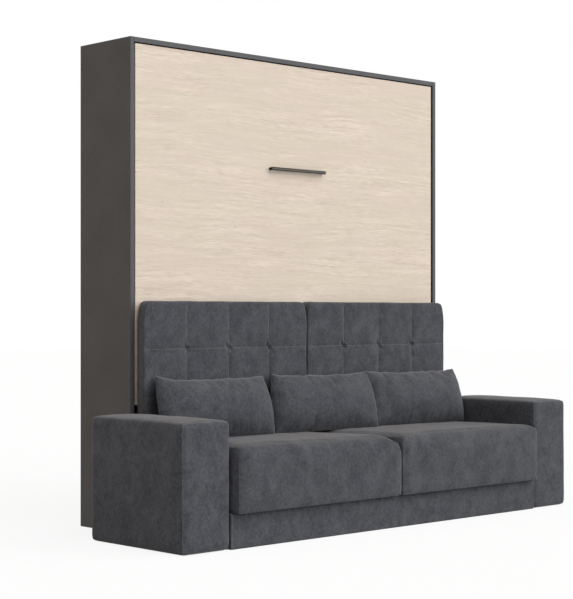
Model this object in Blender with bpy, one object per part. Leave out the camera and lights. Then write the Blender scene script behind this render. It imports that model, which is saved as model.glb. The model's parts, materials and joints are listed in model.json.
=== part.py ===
"""Wall bed with a sofa in front of it.

A tall cabinet holds a double bed that folds down over a fixed sofa. The bed hangs on two pins at the
seam between seat and backrest. Its underside is the cabinet's front panel, and the sofa's backrests
are fixed to that panel, so they lie down on the seat under the open bed.

Axes: +X to the right seen from the front, +Y into the wall, +Z up. The origin is on the floor, at the
middle of the whole object's width and depth. Closed bed. Lengths are in metres.
"""

import math

import bmesh
import bpy
from mathutils import Matrix, Vector
from mathutils.bvhtree import BVHTree

# Driving sizes of the whole object
CABINET_HEIGHT = 2.200
CABINET_WIDTH = 2.036
CABINET_DEPTH = 0.371
SOFA_REACH = 0.700
PIVOT_FORWARD = 0.080
PIVOT_HEIGHT = 0.445
MATTRESS_HEIGHT = 0.160
MATTRESS_LOW = 0.1425
MATTRESS_TOP_GAP = 0.0355

# Clearances and small shared sizes
TOUCH = 0.0003
CUT_OVERRUN = 0.010
EDGE_BREAK = 0.001
PADDED_EDGE = 0.003
SMOOTH_ANGLE = math.radians(35.0)
FLOOR_GAP = 0.0005

# Cabinet
PANEL = 0.022
BACK_SHEET = 0.004
BACK_SHEET_LOW = 0.020
BACK_STRIP = 0.003
BACK_STRIP_WIDTH = 0.040
STRETCHER = 0.018
TOP_STRETCHER_HEIGHT = 0.100
LOW_STRETCHER_HEIGHT = 0.160
PLINTH_HEIGHT = 0.100
PLINTH_SETBACK = 0.030
WALL_ANGLE_LEG = 0.050
WALL_ANGLE_WIDTH = 0.040
WALL_ANGLE_STEEL = 0.003
WALL_ANGLE_INSET = 0.300

# Front panel, which is the bed's underside
FACADE = 0.016
FACADE_RECESS = 0.004
FACADE_TOP_GAP = 0.005
FACADE_SIDE_GAP = 0.009
FACADE_LOW = 0.120
FACADE_STEP_ABOVE_LEVER = 0.050
FACADE_STEP_GAP = 0.066

# Handle on the front panel
HANDLE_LENGTH = 0.354
HANDLE_BAR = 0.010
HANDLE_BAR_HEIGHT = 0.014
HANDLE_STAND_OFF = 0.025
HANDLE_HEIGHT = 1.667
HANDLE_POST_INSET = 0.006

# Bed frame
RAIL_DEPTH = 0.060
RAIL_WIDTH = 0.028
RAIL_SIDE_GAP = 0.0656
LEDGE_WIDTH = 0.020
LEDGE_DEPTH = 0.015
END_RAIL = 0.018
MATTRESS_PLAY = 0.0024
MATTRESS_EDGE = 0.030
CENTRE_RAIL_WIDTH = 0.040
SLAT_COUNT = 9
SLAT_WIDTH = 0.070
SLAT_HEIGHT = 0.012
SLAT_EDGE = 0.002
SLAT_END_MARGIN = 0.060
STRAP_WIDTH = 0.040
STRAP = 0.0016
STRAP_HEAD_INSET = 0.4975
STRAP_FOOT_INSET = 0.4625

# Main pivot
BRACKET_STEEL = 0.0052
LEVER_STEEL = 0.006
LEVER_GAP = 0.0006
HUB_RADIUS = 0.024
PIN_RADIUS = 0.008
PIN_CLEARANCE = 0.0005
PIN_HEAD_RADIUS = 0.012
PIN_HEAD = 0.007
BRACKET_REACH = 0.060
BRACKET_HALF_HEIGHT = 0.045
LEVER_PAD_DEPTH = 0.045
LEVER_PAD_LOW = 0.020
LEVER_PAD_HIGH = 0.075
SPACER_INSET = 0.006
SPACER_HEIGHT = 0.040

# Gas springs, as depths behind the cabinet's front and heights above the floor
GAS_TOP_DEPTH = 0.200
GAS_TOP_HEIGHT = 1.050
GAS_FOOT_DEPTH = 0.050
GAS_FOOT_HEIGHT = 0.270
GAS_CENTRE_INSET = 0.039
GAS_TUBE_RADIUS = 0.012
GAS_TUBE_LENGTH = 0.400
GAS_TUBE_END = 0.030
GAS_BORE_RADIUS = 0.0056
GAS_BORE_DEPTH = 0.350
GAS_ROD_RADIUS = 0.005
GAS_ROD_COVERED = 0.030
GAS_EYE_RADIUS = 0.012
GAS_EYE_WIDTH = 0.010
GAS_STUD_RADIUS = 0.006
GAS_EYE_HOLE_RADIUS = 0.0066
GAS_PLATE_HALF = 0.030
GAS_PLATE = 0.005
GAS_STUD_TAIL = 0.002

# Folding legs at the bed's foot end
LEG_PIVOT_DEPTH = 0.073
LEG_PIVOT_BELOW_TOP = 0.0205
LEG_SIZE = 0.025
LEG_OFFSET = 0.035
LEG_ELBOW = 0.045
LEG_HUB_RADIUS = 0.0165
LEG_SIDE_GAP = 0.005
LEG_PIN_RADIUS = 0.006
LEG_PIN_CLEARANCE = 0.0006
LEG_PIN_TAIL = 0.002

# Sofa base
BASE_HEIGHT = 0.148
SEAT_OVERHANG = 0.040
BASE_BOARD = 0.018
FRONT_BOARD = 0.025
SIDE_BOARD = 0.0244
FRONT_SIDE_GAP = 0.002
REAR_BOARD_REACH = 0.090
BACK_BOARD_TOP = 0.405
BACK_BOARD_SIDE_GAP = 0.031
CENTRE_BEAM_WIDTH = 0.040

# Arms
ARM_WIDTH = 0.257
ARM_OUTBOARD = 0.249
ARM_BEYOND_BASE = 0.001
ARM_REAR_GAP = 0.041
ARM_HEIGHT = 0.545
ARM_CROWN = 0.010
ARM_ROUND = 0.022

# Seat cushions
SEAT_REAR_REACH = 0.112
SEAT_HEIGHT = 0.264
SEAT_SLOPE = 0.012
SEAT_CROWN = 0.006
SEAT_BULGE = 0.006
SEAT_EDGE = 0.010
SEAT_FRONT_ROUND = 0.032
SEAT_FOOT_ROUND = 0.022
SEAT_OUTER_ROUND = 0.030
SEAT_INNER_ROUND = 0.100
SEAT_SIDE_GAP = 0.022
SEAT_MIDDLE_GAP = 0.002
SEAT_DRAW_IN = 0.004

# Backrests
BACKREST_FRONT = 0.075
BACKREST_ABOVE_PIVOT = 0.007
BACKREST_HEIGHT = 0.579
BACKREST_EDGE = 0.012
BACKREST_CORNER = 0.022
BACKREST_TAPER = 0.020
BACKREST_TAPER_REACH = 0.100
BACKREST_SIDE_GAP = 0.015
BACKREST_REAR_INSET = 0.007
BACKREST_MIDDLE_GAP = 0.002
BACKREST_NOTCH_WIDTH = 0.030
BACKREST_NOTCH_CLEARANCE = 0.007
BACKREST_COLUMNS = 4
TUFT_ROW_PITCH = 0.213
SEAM_DEPTH = 0.012
SEAM_HALF_WIDTH = 0.030
TUFT_DEPTH = 0.010

# Loose pillows
PILLOW_WIDTH = 0.648
PILLOW_HEIGHT = 0.280
PILLOW_THICKNESS = 0.150
PILLOW_SEAM = 0.006
PILLOW_CORNER_INSET = 0.017
PILLOW_TOP_DIP = 0.014
PILLOW_LEAN = math.radians(17.0)
PILLOW_TURN = math.radians(3.5)
PILLOW_LEFT_GAP = 0.037
PILLOW_RIGHT_GAP = 0.006
PILLOW_LAP = 0.009
PILLOW_NET_SHARES = (-1.0, -0.94, -0.8, -0.55, -0.25, 0.0, 0.25, 0.55, 0.8, 0.94, 1.0)

# Faces round a full turn, half the turn of a square corner, and the steps across a rounded one
PIN_SIDES = 24
TUBE_SIDES = 20
HALF_CORNER = math.radians(45.0)
CORNER_STEP_SHARES = (0.6, 1.0)
WIDE_CORNER_STEP_SHARES = (0.3, 0.6, 1.0)

# Derived places
half_width = CABINET_WIDTH / 2
inner_half = half_width - PANEL
total_depth = CABINET_DEPTH + SOFA_REACH
front_y = total_depth / 2 - CABINET_DEPTH
back_y = front_y + CABINET_DEPTH
pivot_y = front_y - PIVOT_FORWARD
facade_front_y = front_y + FACADE_RECESS
frame_y = facade_front_y + FACADE + TOUCH
under_top = CABINET_HEIGHT - PANEL
facade_top = under_top - FACADE_TOP_GAP
facade_half = inner_half - FACADE_SIDE_GAP
facade_low_half = inner_half - FACADE_STEP_GAP
lever_top = PIVOT_HEIGHT + LEVER_PAD_HIGH
facade_step = lever_top + FACADE_STEP_ABOVE_LEVER
rail_outer = inner_half - RAIL_SIDE_GAP
rail_inner = rail_outer - RAIL_WIDTH
mattress_half = rail_inner - MATTRESS_PLAY
mattress_high = under_top - MATTRESS_TOP_GAP
slat_y = frame_y + LEDGE_DEPTH + TOUCH
mattress_y = slat_y + SLAT_HEIGHT + TOUCH
mattress_back_y = mattress_y + MATTRESS_HEIGHT
gas_centre = inner_half - GAS_CENTRE_INSET
eye_inner = gas_centre - GAS_EYE_WIDTH / 2
leg_pivot_z = facade_top - LEG_PIVOT_BELOW_TOP
leg_inner = rail_outer + LEG_SIDE_GAP
leg_outer = leg_inner + LEG_SIZE
base_reach = SOFA_REACH - SEAT_OVERHANG
arm_inner = half_width + ARM_OUTBOARD - ARM_WIDTH
arm_outer = half_width + ARM_OUTBOARD
backrest_low = PIVOT_HEIGHT + BACKREST_ABOVE_PIVOT
backrest_top = backrest_low + BACKREST_HEIGHT
backrest_half = half_width - BACKREST_SIDE_GAP
backrest_rear_half = facade_half - BACKREST_REAR_INSET


def clear_scene():
    """Empty the file, so that the model stands alone."""
    for old in list(bpy.data.objects):
        bpy.data.objects.remove(old, do_unlink=True)
    for old in list(bpy.data.meshes):
        bpy.data.meshes.remove(old)


def make_material(name, colour, roughness, metallic=0.0):
    """A plain Principled material."""
    material = bpy.data.materials.new(name)
    material.use_nodes = True
    shader = material.node_tree.nodes["Principled BSDF"]
    shader.inputs["Base Color"].default_value = (*colour, 1.0)
    shader.inputs["Roughness"].default_value = roughness
    shader.inputs["Metallic"].default_value = metallic
    return material


def add_object(name, bm, material, origin=(0, 0, 0), smooth=False):
    """Turn a mesh in world coordinates into an object whose origin is at the given point."""
    origin = Vector(origin)
    bmesh.ops.translate(bm, vec=-origin, verts=bm.verts)
    bmesh.ops.recalc_face_normals(bm, faces=bm.faces)
    mesh = bpy.data.meshes.new(name)
    bm.to_mesh(mesh)
    bm.free()
    mesh.materials.append(material)
    if smooth:
        mesh.shade_smooth()
        mesh.set_sharp_from_angle(angle=SMOOTH_ANGLE)
    obj = bpy.data.objects.new(name, mesh)
    obj.location = origin
    bpy.context.scene.collection.objects.link(obj)
    return obj


def box_mesh(low, high):
    """A box between two corners."""
    bm = bmesh.new()
    bmesh.ops.create_cube(bm, size=1.0)
    low = Vector(low)
    high = Vector(high)
    size = high - low
    bmesh.ops.scale(bm, vec=size, verts=bm.verts)
    bmesh.ops.translate(bm, vec=(low + high) / 2, verts=bm.verts)
    return bm


def add_bevel(obj, width, segments=1):
    """Break or round an object's edges."""
    bevel = obj.modifiers.new("edge", "BEVEL")
    bevel.width = width
    bevel.segments = segments
    bevel.limit_method = "ANGLE"
    return bevel


def add_box(name, low, high, material, origin=(0, 0, 0), edge=EDGE_BREAK, segments=1):
    """A board or bar with broken edges."""
    obj = add_object(name, box_mesh(low, high), material, origin)
    add_bevel(obj, edge, segments)
    return obj


def prism_mesh(outline, axis, start, end):
    """A flat outline in the plane across an axis, given a thickness along it."""
    bm = bmesh.new()
    if axis == "X":
        points = [(start, a, b) for a, b in outline]
        step = (end - start, 0, 0)
    elif axis == "Y":
        points = [(a, start, b) for a, b in outline]
        step = (0, end - start, 0)
    else:
        points = [(a, b, start) for a, b in outline]
        step = (0, 0, end - start)
    face = bm.faces.new([bm.verts.new(point) for point in points])
    grown = bmesh.ops.extrude_face_region(bm, geom=[face])
    moved = [item for item in grown["geom"] if isinstance(item, bmesh.types.BMVert)]
    bmesh.ops.translate(bm, vec=step, verts=moved)
    return bm


def arc(centre, radius, start, end, count):
    """Points on an arc, from one angle to another in degrees."""
    points = []
    for index in range(count + 1):
        angle = math.radians(start + (end - start) * index / count)
        points.append((centre[0] + radius * math.cos(angle), centre[1] + radius * math.sin(angle)))
    return points


def drum_mesh(centre, radius, start, end, sides=PIN_SIDES):
    """A round bar along X."""
    return prism_mesh(arc(centre, radius, 0, 360 - 360 / sides, sides - 1), "X", start, end)


def turned_mesh(profile, sides=TUBE_SIDES):
    """A solid turned about Z from (radius, height) points that start and end on the axis."""
    bm = bmesh.new()
    rings = []
    for radius, height in profile:
        if radius == 0:
            rings.append([bm.verts.new((0, 0, height))])
            continue
        ring = []
        for index in range(sides):
            angle = math.tau * index / sides
            ring.append(bm.verts.new((radius * math.cos(angle), radius * math.sin(angle), height)))
        rings.append(ring)
    for one, two in zip(rings, rings[1:]):
        for index in range(sides):
            after = (index + 1) % sides
            corners = [one[index % len(one)], one[after % len(one)]]
            corners += [two[after % len(two)], two[index % len(two)]]
            unique = list(dict.fromkeys(corners))
            bm.faces.new(unique)
    return bm


def boolean(obj, name, bm, operation, material):
    """Join a shape to an object or cut it away; the tool shape stays hidden."""
    tool = add_object(name, bm, material)
    tool.hide_render = True
    tool.display_type = "WIRE"
    modifier = obj.modifiers.new(name, "BOOLEAN")
    modifier.operation = operation
    modifier.solver = "EXACT"
    modifier.object = tool
    return tool


def lattice_mesh(xs, ys, zs, place):
    """A closed box-like skin with one vertex for each surface point of a lattice."""
    bm = bmesh.new()
    verts = {}

    def vert(i, j, k):
        if (i, j, k) not in verts:
            verts[i, j, k] = bm.verts.new(place(xs[i], ys[j], zs[k]))
        return verts[i, j, k]

    last_x = len(xs) - 1
    last_y = len(ys) - 1
    last_z = len(zs) - 1
    for i in range(last_x):
        for j in range(last_y):
            for k in (0, last_z):
                bm.faces.new((vert(i, j, k), vert(i + 1, j, k), vert(i + 1, j + 1, k), vert(i, j + 1, k)))
    for i in range(last_x):
        for k in range(last_z):
            for j in (0, last_y):
                bm.faces.new((vert(i, j, k), vert(i + 1, j, k), vert(i + 1, j, k + 1), vert(i, j, k + 1)))
    for j in range(last_y):
        for k in range(last_z):
            for i in (0, last_x):
                bm.faces.new((vert(i, j, k), vert(i, j + 1, k), vert(i, j + 1, k + 1), vert(i, j, k + 1)))
    return bm


def half_way(radius):
    """Distance from a side's end at which a rounded edge is half turned."""
    return radius - radius * math.tan(HALF_CORNER / 2)


def graded_steps(low, high, near_low, near_high, count):
    """Lattice places along one side: given distances from its ends, and equal steps between them."""
    start = low + max(near_low)
    end = high - max(near_high)
    places = [low] + [low + distance for distance in sorted(near_low)]
    for index in range(1, count):
        places.append(start + (end - start) * index / count)
    places += [high - distance for distance in sorted(near_high, reverse=True)] + [high]
    return places


def round_steps(low, high, radius, count):
    """Lattice places along one side: the two rounded ends and equal steps between them."""
    near = [half_way(radius), radius]
    return graded_steps(low, high, near, near, count)


def corner_steps(edge, radius, shares=CORNER_STEP_SHARES):
    """Distances from a side's end for a rounded corner whose own edge is broken less."""
    return [half_way(edge)] + [radius * share for share in shares]


def rounded(point, low, high, radius):
    """Move a point of a box's surface onto the same box with round edges."""
    core = Vector([min(max(point[n], low[n] + radius), high[n] - radius) for n in range(3)])
    offset = Vector(point) - core
    if offset.length == 0:
        return core
    return core + offset.normalized() * radius


def turn_corners(point, axis, low, high, foot, low_end, high_end):
    """Round the corners of a box's outline in the plane of Z and one other axis.

    The lower corners have one radius, and the upper ones at the axis's low and high end their own.
    """
    if point.z < (low[2] + high[2]) / 2:
        radius = foot
    elif point[axis] < (low[axis] + high[axis]) / 2:
        radius = low_end
    else:
        radius = high_end
    across = point[axis] - min(max(point[axis], low[axis] + radius), high[axis] - radius)
    up = point.z - min(max(point.z, low[2] + radius), high[2] - radius)
    if across == 0 or up == 0:
        return
    share = max(abs(across), abs(up)) / math.hypot(across, up)
    point[axis] -= across * (1 - share)
    point.z -= up * (1 - share)


def share_of(value, low, high):
    """Where a value lies between two others, from -1 to 1."""
    middle = (low + high) / 2
    half = (high - low) / 2
    return max(-1.0, min(1.0, (value - middle) / half))


def swell(share, power):
    """One at the middle of a side, zero at its ends, and flat between for high powers."""
    return 1.0 - abs(share) ** power


def side_name(side):
    return "left" if side < 0 else "right"


def span(side, inner, outer):
    """The lower and higher X of a piece between two distances from the middle."""
    return (-outer, -inner) if side < 0 else (inner, outer)


def build_cabinet(wood, sheet, steel):
    """Sides, top, plinth, stretchers, back sheets and wall angles."""
    for side in (-1, 1):
        low, high = span(side, inner_half, half_width)
        name = "cabinet_side_" + side_name(side)
        add_box(name, (low, front_y, 0), (high, back_y, CABINET_HEIGHT), wood)
    reach = inner_half - TOUCH
    add_box("cabinet_top_panel", (-reach, front_y, under_top), (reach, back_y, CABINET_HEIGHT), wood)
    plinth_y = front_y + PLINTH_SETBACK
    add_box("cabinet_plinth", (-reach, plinth_y, 0), (reach, plinth_y + STRETCHER, PLINTH_HEIGHT), wood)
    sheet_y = back_y - BACK_SHEET
    stretcher_back = sheet_y - TOUCH
    stretcher_front = stretcher_back - STRETCHER
    top_low = under_top - TOUCH - TOP_STRETCHER_HEIGHT
    add_box("cabinet_top_stretcher", (-reach, stretcher_front, top_low),
            (reach, stretcher_back, under_top - TOUCH), wood)
    add_box("cabinet_low_stretcher", (-reach, stretcher_front, 0),
            (reach, stretcher_back, LOW_STRETCHER_HEIGHT), wood)
    for side in (-1, 1):
        low, high = span(side, TOUCH, reach)
        add_box("back_sheet_" + side_name(side), (low, sheet_y, BACK_SHEET_LOW),
                (high, back_y, under_top - TOUCH), sheet)
    strip_half = BACK_STRIP_WIDTH / 2
    add_box("back_joint_strip", (-strip_half, stretcher_back - BACK_STRIP, LOW_STRETCHER_HEIGHT + TOUCH),
            (strip_half, stretcher_back, top_low - TOUCH), sheet)
    for side in (-1, 1):
        build_wall_angle(side, stretcher_front - TOUCH, steel)


def build_wall_angle(side, wall_y, steel):
    """A steel angle in the corner under the top panel, screwed on to the wall through the stretcher."""
    top = under_top - TOUCH
    outline = [
        (wall_y, top),
        (wall_y - WALL_ANGLE_LEG, top),
        (wall_y - WALL_ANGLE_LEG, top - WALL_ANGLE_STEEL),
        (wall_y - WALL_ANGLE_STEEL, top - WALL_ANGLE_STEEL),
        (wall_y - WALL_ANGLE_STEEL, top - WALL_ANGLE_LEG),
        (wall_y, top - WALL_ANGLE_LEG),
    ]
    outer = inner_half - WALL_ANGLE_INSET
    low, high = span(side, outer - WALL_ANGLE_WIDTH, outer)
    add_object("wall_angle_" + side_name(side), prism_mesh(outline, "X", low, high), steel)


def build_facade(oak, black):
    """The front panel, narrower below where the pivots stand beside it, and its handle."""
    outline = [
        (-facade_low_half, FACADE_LOW),
        (facade_low_half, FACADE_LOW),
        (facade_low_half, facade_step),
        (facade_half, facade_step),
        (facade_half, facade_top),
        (-facade_half, facade_top),
        (-facade_half, facade_step),
        (-facade_low_half, facade_step),
    ]
    back = facade_front_y + FACADE
    origin = (0, pivot_y, PIVOT_HEIGHT)
    panel = add_object("facade_panel", prism_mesh(outline, "Y", facade_front_y, back), oak, origin)
    add_bevel(panel, EDGE_BREAK)
    build_handle(black, origin)


def build_handle(black, origin):
    """A slim flat bar on two end posts, bent from one piece."""
    half = HANDLE_LENGTH / 2
    post = half - HANDLE_POST_INSET
    face = facade_front_y - TOUCH
    outer = facade_front_y - HANDLE_STAND_OFF
    inner = outer + HANDLE_BAR
    outline = [
        (-half, outer),
        (half, outer),
        (half, inner),
        (post, inner),
        (post, face),
        (post - HANDLE_BAR, face),
        (post - HANDLE_BAR, inner),
        (-post + HANDLE_BAR, inner),
        (-post + HANDLE_BAR, face),
        (-post, face),
        (-post, inner),
        (-half, inner),
    ]
    low = HANDLE_HEIGHT - HANDLE_BAR_HEIGHT / 2
    high = HANDLE_HEIGHT + HANDLE_BAR_HEIGHT / 2
    add_object("facade_handle", prism_mesh(outline, "Z", low, high), black, origin)


def build_bed_frame(steel, birch):
    """Side rails with a ledge, end rails, middle rail and slats."""
    origin = (0, pivot_y, PIVOT_HEIGHT)
    frame_back = frame_y + RAIL_DEPTH
    frame_low = MATTRESS_LOW - TOUCH - END_RAIL
    frame_high = mattress_high + TOUCH + END_RAIL
    ledge = rail_inner - LEDGE_WIDTH
    for side in (-1, 1):
        outline = [
            (side * ledge, frame_y),
            (side * rail_outer, frame_y),
            (side * rail_outer, frame_back),
            (side * rail_inner, frame_back),
            (side * rail_inner, frame_y + LEDGE_DEPTH),
            (side * ledge, frame_y + LEDGE_DEPTH),
        ]
        name = "bed_side_rail_" + side_name(side)
        rail = add_object(name, prism_mesh(outline, "Z", frame_low, frame_high), steel, origin)
        stud_end = eye_inner - TOUCH
        start = rail_outer - CUT_OVERRUN
        foot = (front_y + GAS_FOOT_DEPTH, GAS_FOOT_HEIGHT)
        stud = drum_mesh(foot, GAS_STUD_RADIUS, side * start, side * stud_end)
        boolean(rail, "gas_stud_" + side_name(side), stud, "UNION", steel)
        hinge = (front_y + LEG_PIVOT_DEPTH, leg_pivot_z)
        pin = drum_mesh(hinge, LEG_PIN_RADIUS, side * start, side * (leg_outer + LEG_PIN_TAIL))
        boolean(rail, "leg_stud_" + side_name(side), pin, "UNION", steel)
    cross_low = frame_y + LEDGE_DEPTH + TOUCH
    reach = rail_inner - TOUCH
    add_box("bed_head_rail", (-reach, cross_low, frame_low),
            (reach, frame_back, frame_low + END_RAIL), steel, origin)
    add_box("bed_foot_rail", (-reach, cross_low, frame_high - END_RAIL),
            (reach, frame_back, frame_high), steel, origin)
    half = CENTRE_RAIL_WIDTH / 2
    add_box("bed_middle_rail", (-half, frame_y, frame_low), (half, frame_y + LEDGE_DEPTH, frame_high),
            steel, origin)
    first = frame_low + END_RAIL + SLAT_END_MARGIN
    last = frame_high - END_RAIL - SLAT_END_MARGIN - SLAT_WIDTH
    for index in range(SLAT_COUNT):
        low = first + (last - first) * index / (SLAT_COUNT - 1)
        add_box("slat_%02d" % (index + 1), (-reach, slat_y, low),
                (reach, slat_y + SLAT_HEIGHT, low + SLAT_WIDTH), birch, origin, SLAT_EDGE)


def build_mattress(ticking, webbing):
    """The mattress and the two straps that hold it when the bed stands up."""
    origin = (0, pivot_y, PIVOT_HEIGHT)
    low = (-mattress_half, mattress_y, MATTRESS_LOW)
    high = (mattress_half, mattress_back_y, mattress_high)
    add_box("mattress", low, high, ticking, origin, MATTRESS_EDGE, 3)
    inner = mattress_half + (MATTRESS_PLAY - STRAP) / 2
    outer = inner + STRAP
    over = mattress_back_y + TOUCH
    start = slat_y + SLAT_HEIGHT + TOUCH
    outline = [
        (-outer, start),
        (-inner, start),
        (-inner, over),
        (inner, over),
        (inner, start),
        (outer, start),
        (outer, over + STRAP),
        (-outer, over + STRAP),
    ]
    heights = {
        "strap_low": MATTRESS_LOW + STRAP_HEAD_INSET,
        "strap_high": mattress_high - STRAP_FOOT_INSET - STRAP_WIDTH,
    }
    for name, height in heights.items():
        strap = prism_mesh(outline, "Z", height, height + STRAP_WIDTH)
        add_object(name, strap, webbing, origin)


def build_pivots(steel, dark_steel):
    """Fixed brackets on the cabinet sides, pins, and levers on the bed frame."""
    centre = (pivot_y, PIVOT_HEIGHT)
    bracket_outer = inner_half - TOUCH
    bracket_inner = bracket_outer - BRACKET_STEEL
    lever_outer = bracket_inner - LEVER_GAP
    lever_inner = lever_outer - LEVER_STEEL
    origin = (0, pivot_y, PIVOT_HEIGHT)
    for side in (-1, 1):
        word = side_name(side)
        reach = front_y + BRACKET_REACH
        outline = arc(centre, HUB_RADIUS, 110, 250, 10)
        outline += [
            (reach, PIVOT_HEIGHT - BRACKET_HALF_HEIGHT),
            (reach, PIVOT_HEIGHT + BRACKET_HALF_HEIGHT),
        ]
        shape = prism_mesh(outline, "X", side * bracket_inner, side * bracket_outer)
        bracket = add_object("pivot_bracket_" + word, shape, dark_steel)
        hole = drum_mesh(centre, PIN_RADIUS + PIN_CLEARANCE, side * (bracket_inner - CUT_OVERRUN),
                         side * (bracket_outer + CUT_OVERRUN))
        boolean(bracket, "bracket_hole_" + word, hole, "DIFFERENCE", dark_steel)

        pad_front = frame_y
        pad_back = frame_y + LEVER_PAD_DEPTH
        outline = arc(centre, HUB_RADIUS, 100, 270, 12)
        outline += [
            (pad_back, PIVOT_HEIGHT - LEVER_PAD_LOW),
            (pad_back, lever_top),
            (pad_front, lever_top),
        ]
        shape = prism_mesh(outline, "X", side * lever_inner, side * lever_outer)
        lever = add_object("pivot_lever_" + word, shape, dark_steel, origin)
        spacer_high = lever_top - SPACER_INSET
        low, high = span(side, rail_outer + TOUCH, lever_outer - LEVER_STEEL / 2)
        spacer = box_mesh((low, pad_front + SPACER_INSET, spacer_high - SPACER_HEIGHT),
                          (high, pad_back - SPACER_INSET, spacer_high))
        boolean(lever, "lever_spacer_" + word, spacer, "UNION", dark_steel)
        hole = drum_mesh(centre, PIN_RADIUS + PIN_CLEARANCE, side * (lever_inner - CUT_OVERRUN),
                         side * (lever_outer + CUT_OVERRUN))
        boolean(lever, "lever_hole_" + word, hole, "DIFFERENCE", dark_steel)

        build_pin(side, lever_inner - LEVER_GAP, bracket_outer, centre, steel)


def build_pin(side, head_face, tip, centre, steel):
    """A headed pin through lever and bracket; its tip butts on the cabinet side."""
    head_end = head_face - PIN_HEAD
    length = tip - head_end
    profile = [
        (0, 0),
        (PIN_HEAD_RADIUS, 0),
        (PIN_HEAD_RADIUS, PIN_HEAD),
        (PIN_RADIUS, PIN_HEAD),
        (PIN_RADIUS, length),
        (0, length),
    ]
    bm = turned_mesh(profile, PIN_SIDES)
    turn = Matrix.Rotation(math.radians(90.0 * side), 3, "Y")
    bmesh.ops.rotate(bm, cent=(0, 0, 0), matrix=turn, verts=bm.verts)
    bmesh.ops.translate(bm, vec=(side * head_end, centre[0], centre[1]), verts=bm.verts)
    add_object("pivot_pin_" + side_name(side), bm, steel, smooth=True)


def build_gas_springs(steel, black):
    """Each spring: wall plate with a stud, tube hinged on it, and rod that slides in the tube."""
    top = Vector((0, front_y + GAS_TOP_DEPTH, GAS_TOP_HEIGHT))
    foot = Vector((0, front_y + GAS_FOOT_DEPTH, GAS_FOOT_HEIGHT))
    line = foot - top
    tilt = Matrix.Rotation(math.atan2(line.y, -line.z), 3, "X")
    for side in (-1, 1):
        word = side_name(side)
        place = Vector((side * gas_centre, top.y, top.z))
        half = GAS_PLATE_HALF
        low, high = span(side, inner_half - TOUCH - GAS_PLATE, inner_half - TOUCH)
        plate = add_box("gas_plate_" + word, (low, top.y - half, top.z - half),
                        (high, top.y + half, top.z + half), steel)
        stud = drum_mesh((top.y, top.z), GAS_STUD_RADIUS, side * (eye_inner - GAS_STUD_TAIL),
                         side * (inner_half - GAS_PLATE / 2))
        boolean(plate, "plate_stud_" + word, stud, "UNION", steel)

        neck = GAS_TUBE_END
        end = -neck - GAS_TUBE_LENGTH
        profile = [
            (0, -GAS_EYE_RADIUS / 2),
            (GAS_ROD_RADIUS, -GAS_EYE_RADIUS / 2),
            (GAS_ROD_RADIUS, -neck),
            (GAS_TUBE_RADIUS, -neck),
            (GAS_TUBE_RADIUS, end),
            (GAS_BORE_RADIUS, end),
            (GAS_BORE_RADIUS, end + GAS_BORE_DEPTH),
            (0, end + GAS_BORE_DEPTH),
        ]
        tube = swung(turned_mesh(profile), tilt, place)
        tube = add_object("gas_tube_" + word, tube, black, place)
        add_eye(tube, "tube_eye_" + word, place, GAS_EYE_HOLE_RADIUS, black)

        rod_top = end + GAS_ROD_COVERED
        profile = [
            (0, rod_top),
            (GAS_ROD_RADIUS, rod_top),
            (GAS_ROD_RADIUS, -line.length + GAS_EYE_RADIUS / 2),
            (0, -line.length + GAS_EYE_RADIUS / 2),
        ]
        rod = swung(turned_mesh(profile), tilt, place)
        seat = Vector((side * gas_centre, foot.y, foot.z))
        rod = add_object("gas_rod_" + word, rod, steel, seat)
        add_eye(rod, "rod_eye_" + word, seat, 0, steel)


def swung(bm, turn, place):
    """A shape made along Z, turned about its own end and set at its place."""
    bmesh.ops.rotate(bm, cent=(0, 0, 0), matrix=turn, verts=bm.verts)
    bmesh.ops.translate(bm, vec=place, verts=bm.verts)
    return bm


def add_eye(obj, name, place, hole, material):
    """A flat eye across X at a rod's end, with or without its hole."""
    start = place.x - GAS_EYE_WIDTH / 2
    end = place.x + GAS_EYE_WIDTH / 2
    disc = drum_mesh((place.y, place.z), GAS_EYE_RADIUS, start, end)
    boolean(obj, name, disc, "UNION", material)
    if hole:
        bore = drum_mesh((place.y, place.z), hole, start - CUT_OVERRUN, end + CUT_OVERRUN)
        boolean(obj, name + "_hole", bore, "DIFFERENCE", material)


def build_legs(black):
    """Square legs with a bent end, stored behind the front panel and swung over its upper edge."""
    hinge_y = front_y + LEG_PIVOT_DEPTH
    open_height = PIVOT_HEIGHT + hinge_y - pivot_y
    length = open_height - FLOOR_GAP
    near = hinge_y - LEG_OFFSET + LEG_SIZE / 2
    far = near - LEG_SIZE
    elbow = leg_pivot_z - LEG_ELBOW
    tip = leg_pivot_z - length
    centre = (hinge_y, leg_pivot_z)
    outline = arc(centre, LEG_HUB_RADIUS, -45, 150, 12)
    outline += [
        (far, elbow + LEG_SIZE / 2),
        (far, tip),
        (near, tip),
        (near, elbow),
    ]
    for side in (-1, 1):
        word = side_name(side)
        origin = (side * leg_inner, hinge_y, leg_pivot_z)
        shape = prism_mesh(outline, "X", side * leg_inner, side * leg_outer)
        leg = add_object("folding_leg_" + word, shape, black, origin)
        hole = drum_mesh(centre, LEG_PIN_RADIUS + LEG_PIN_CLEARANCE, side * (leg_inner - CUT_OVERRUN),
                         side * (leg_outer + CUT_OVERRUN))
        boolean(leg, "leg_hole_" + word, hole, "DIFFERENCE", black)


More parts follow.
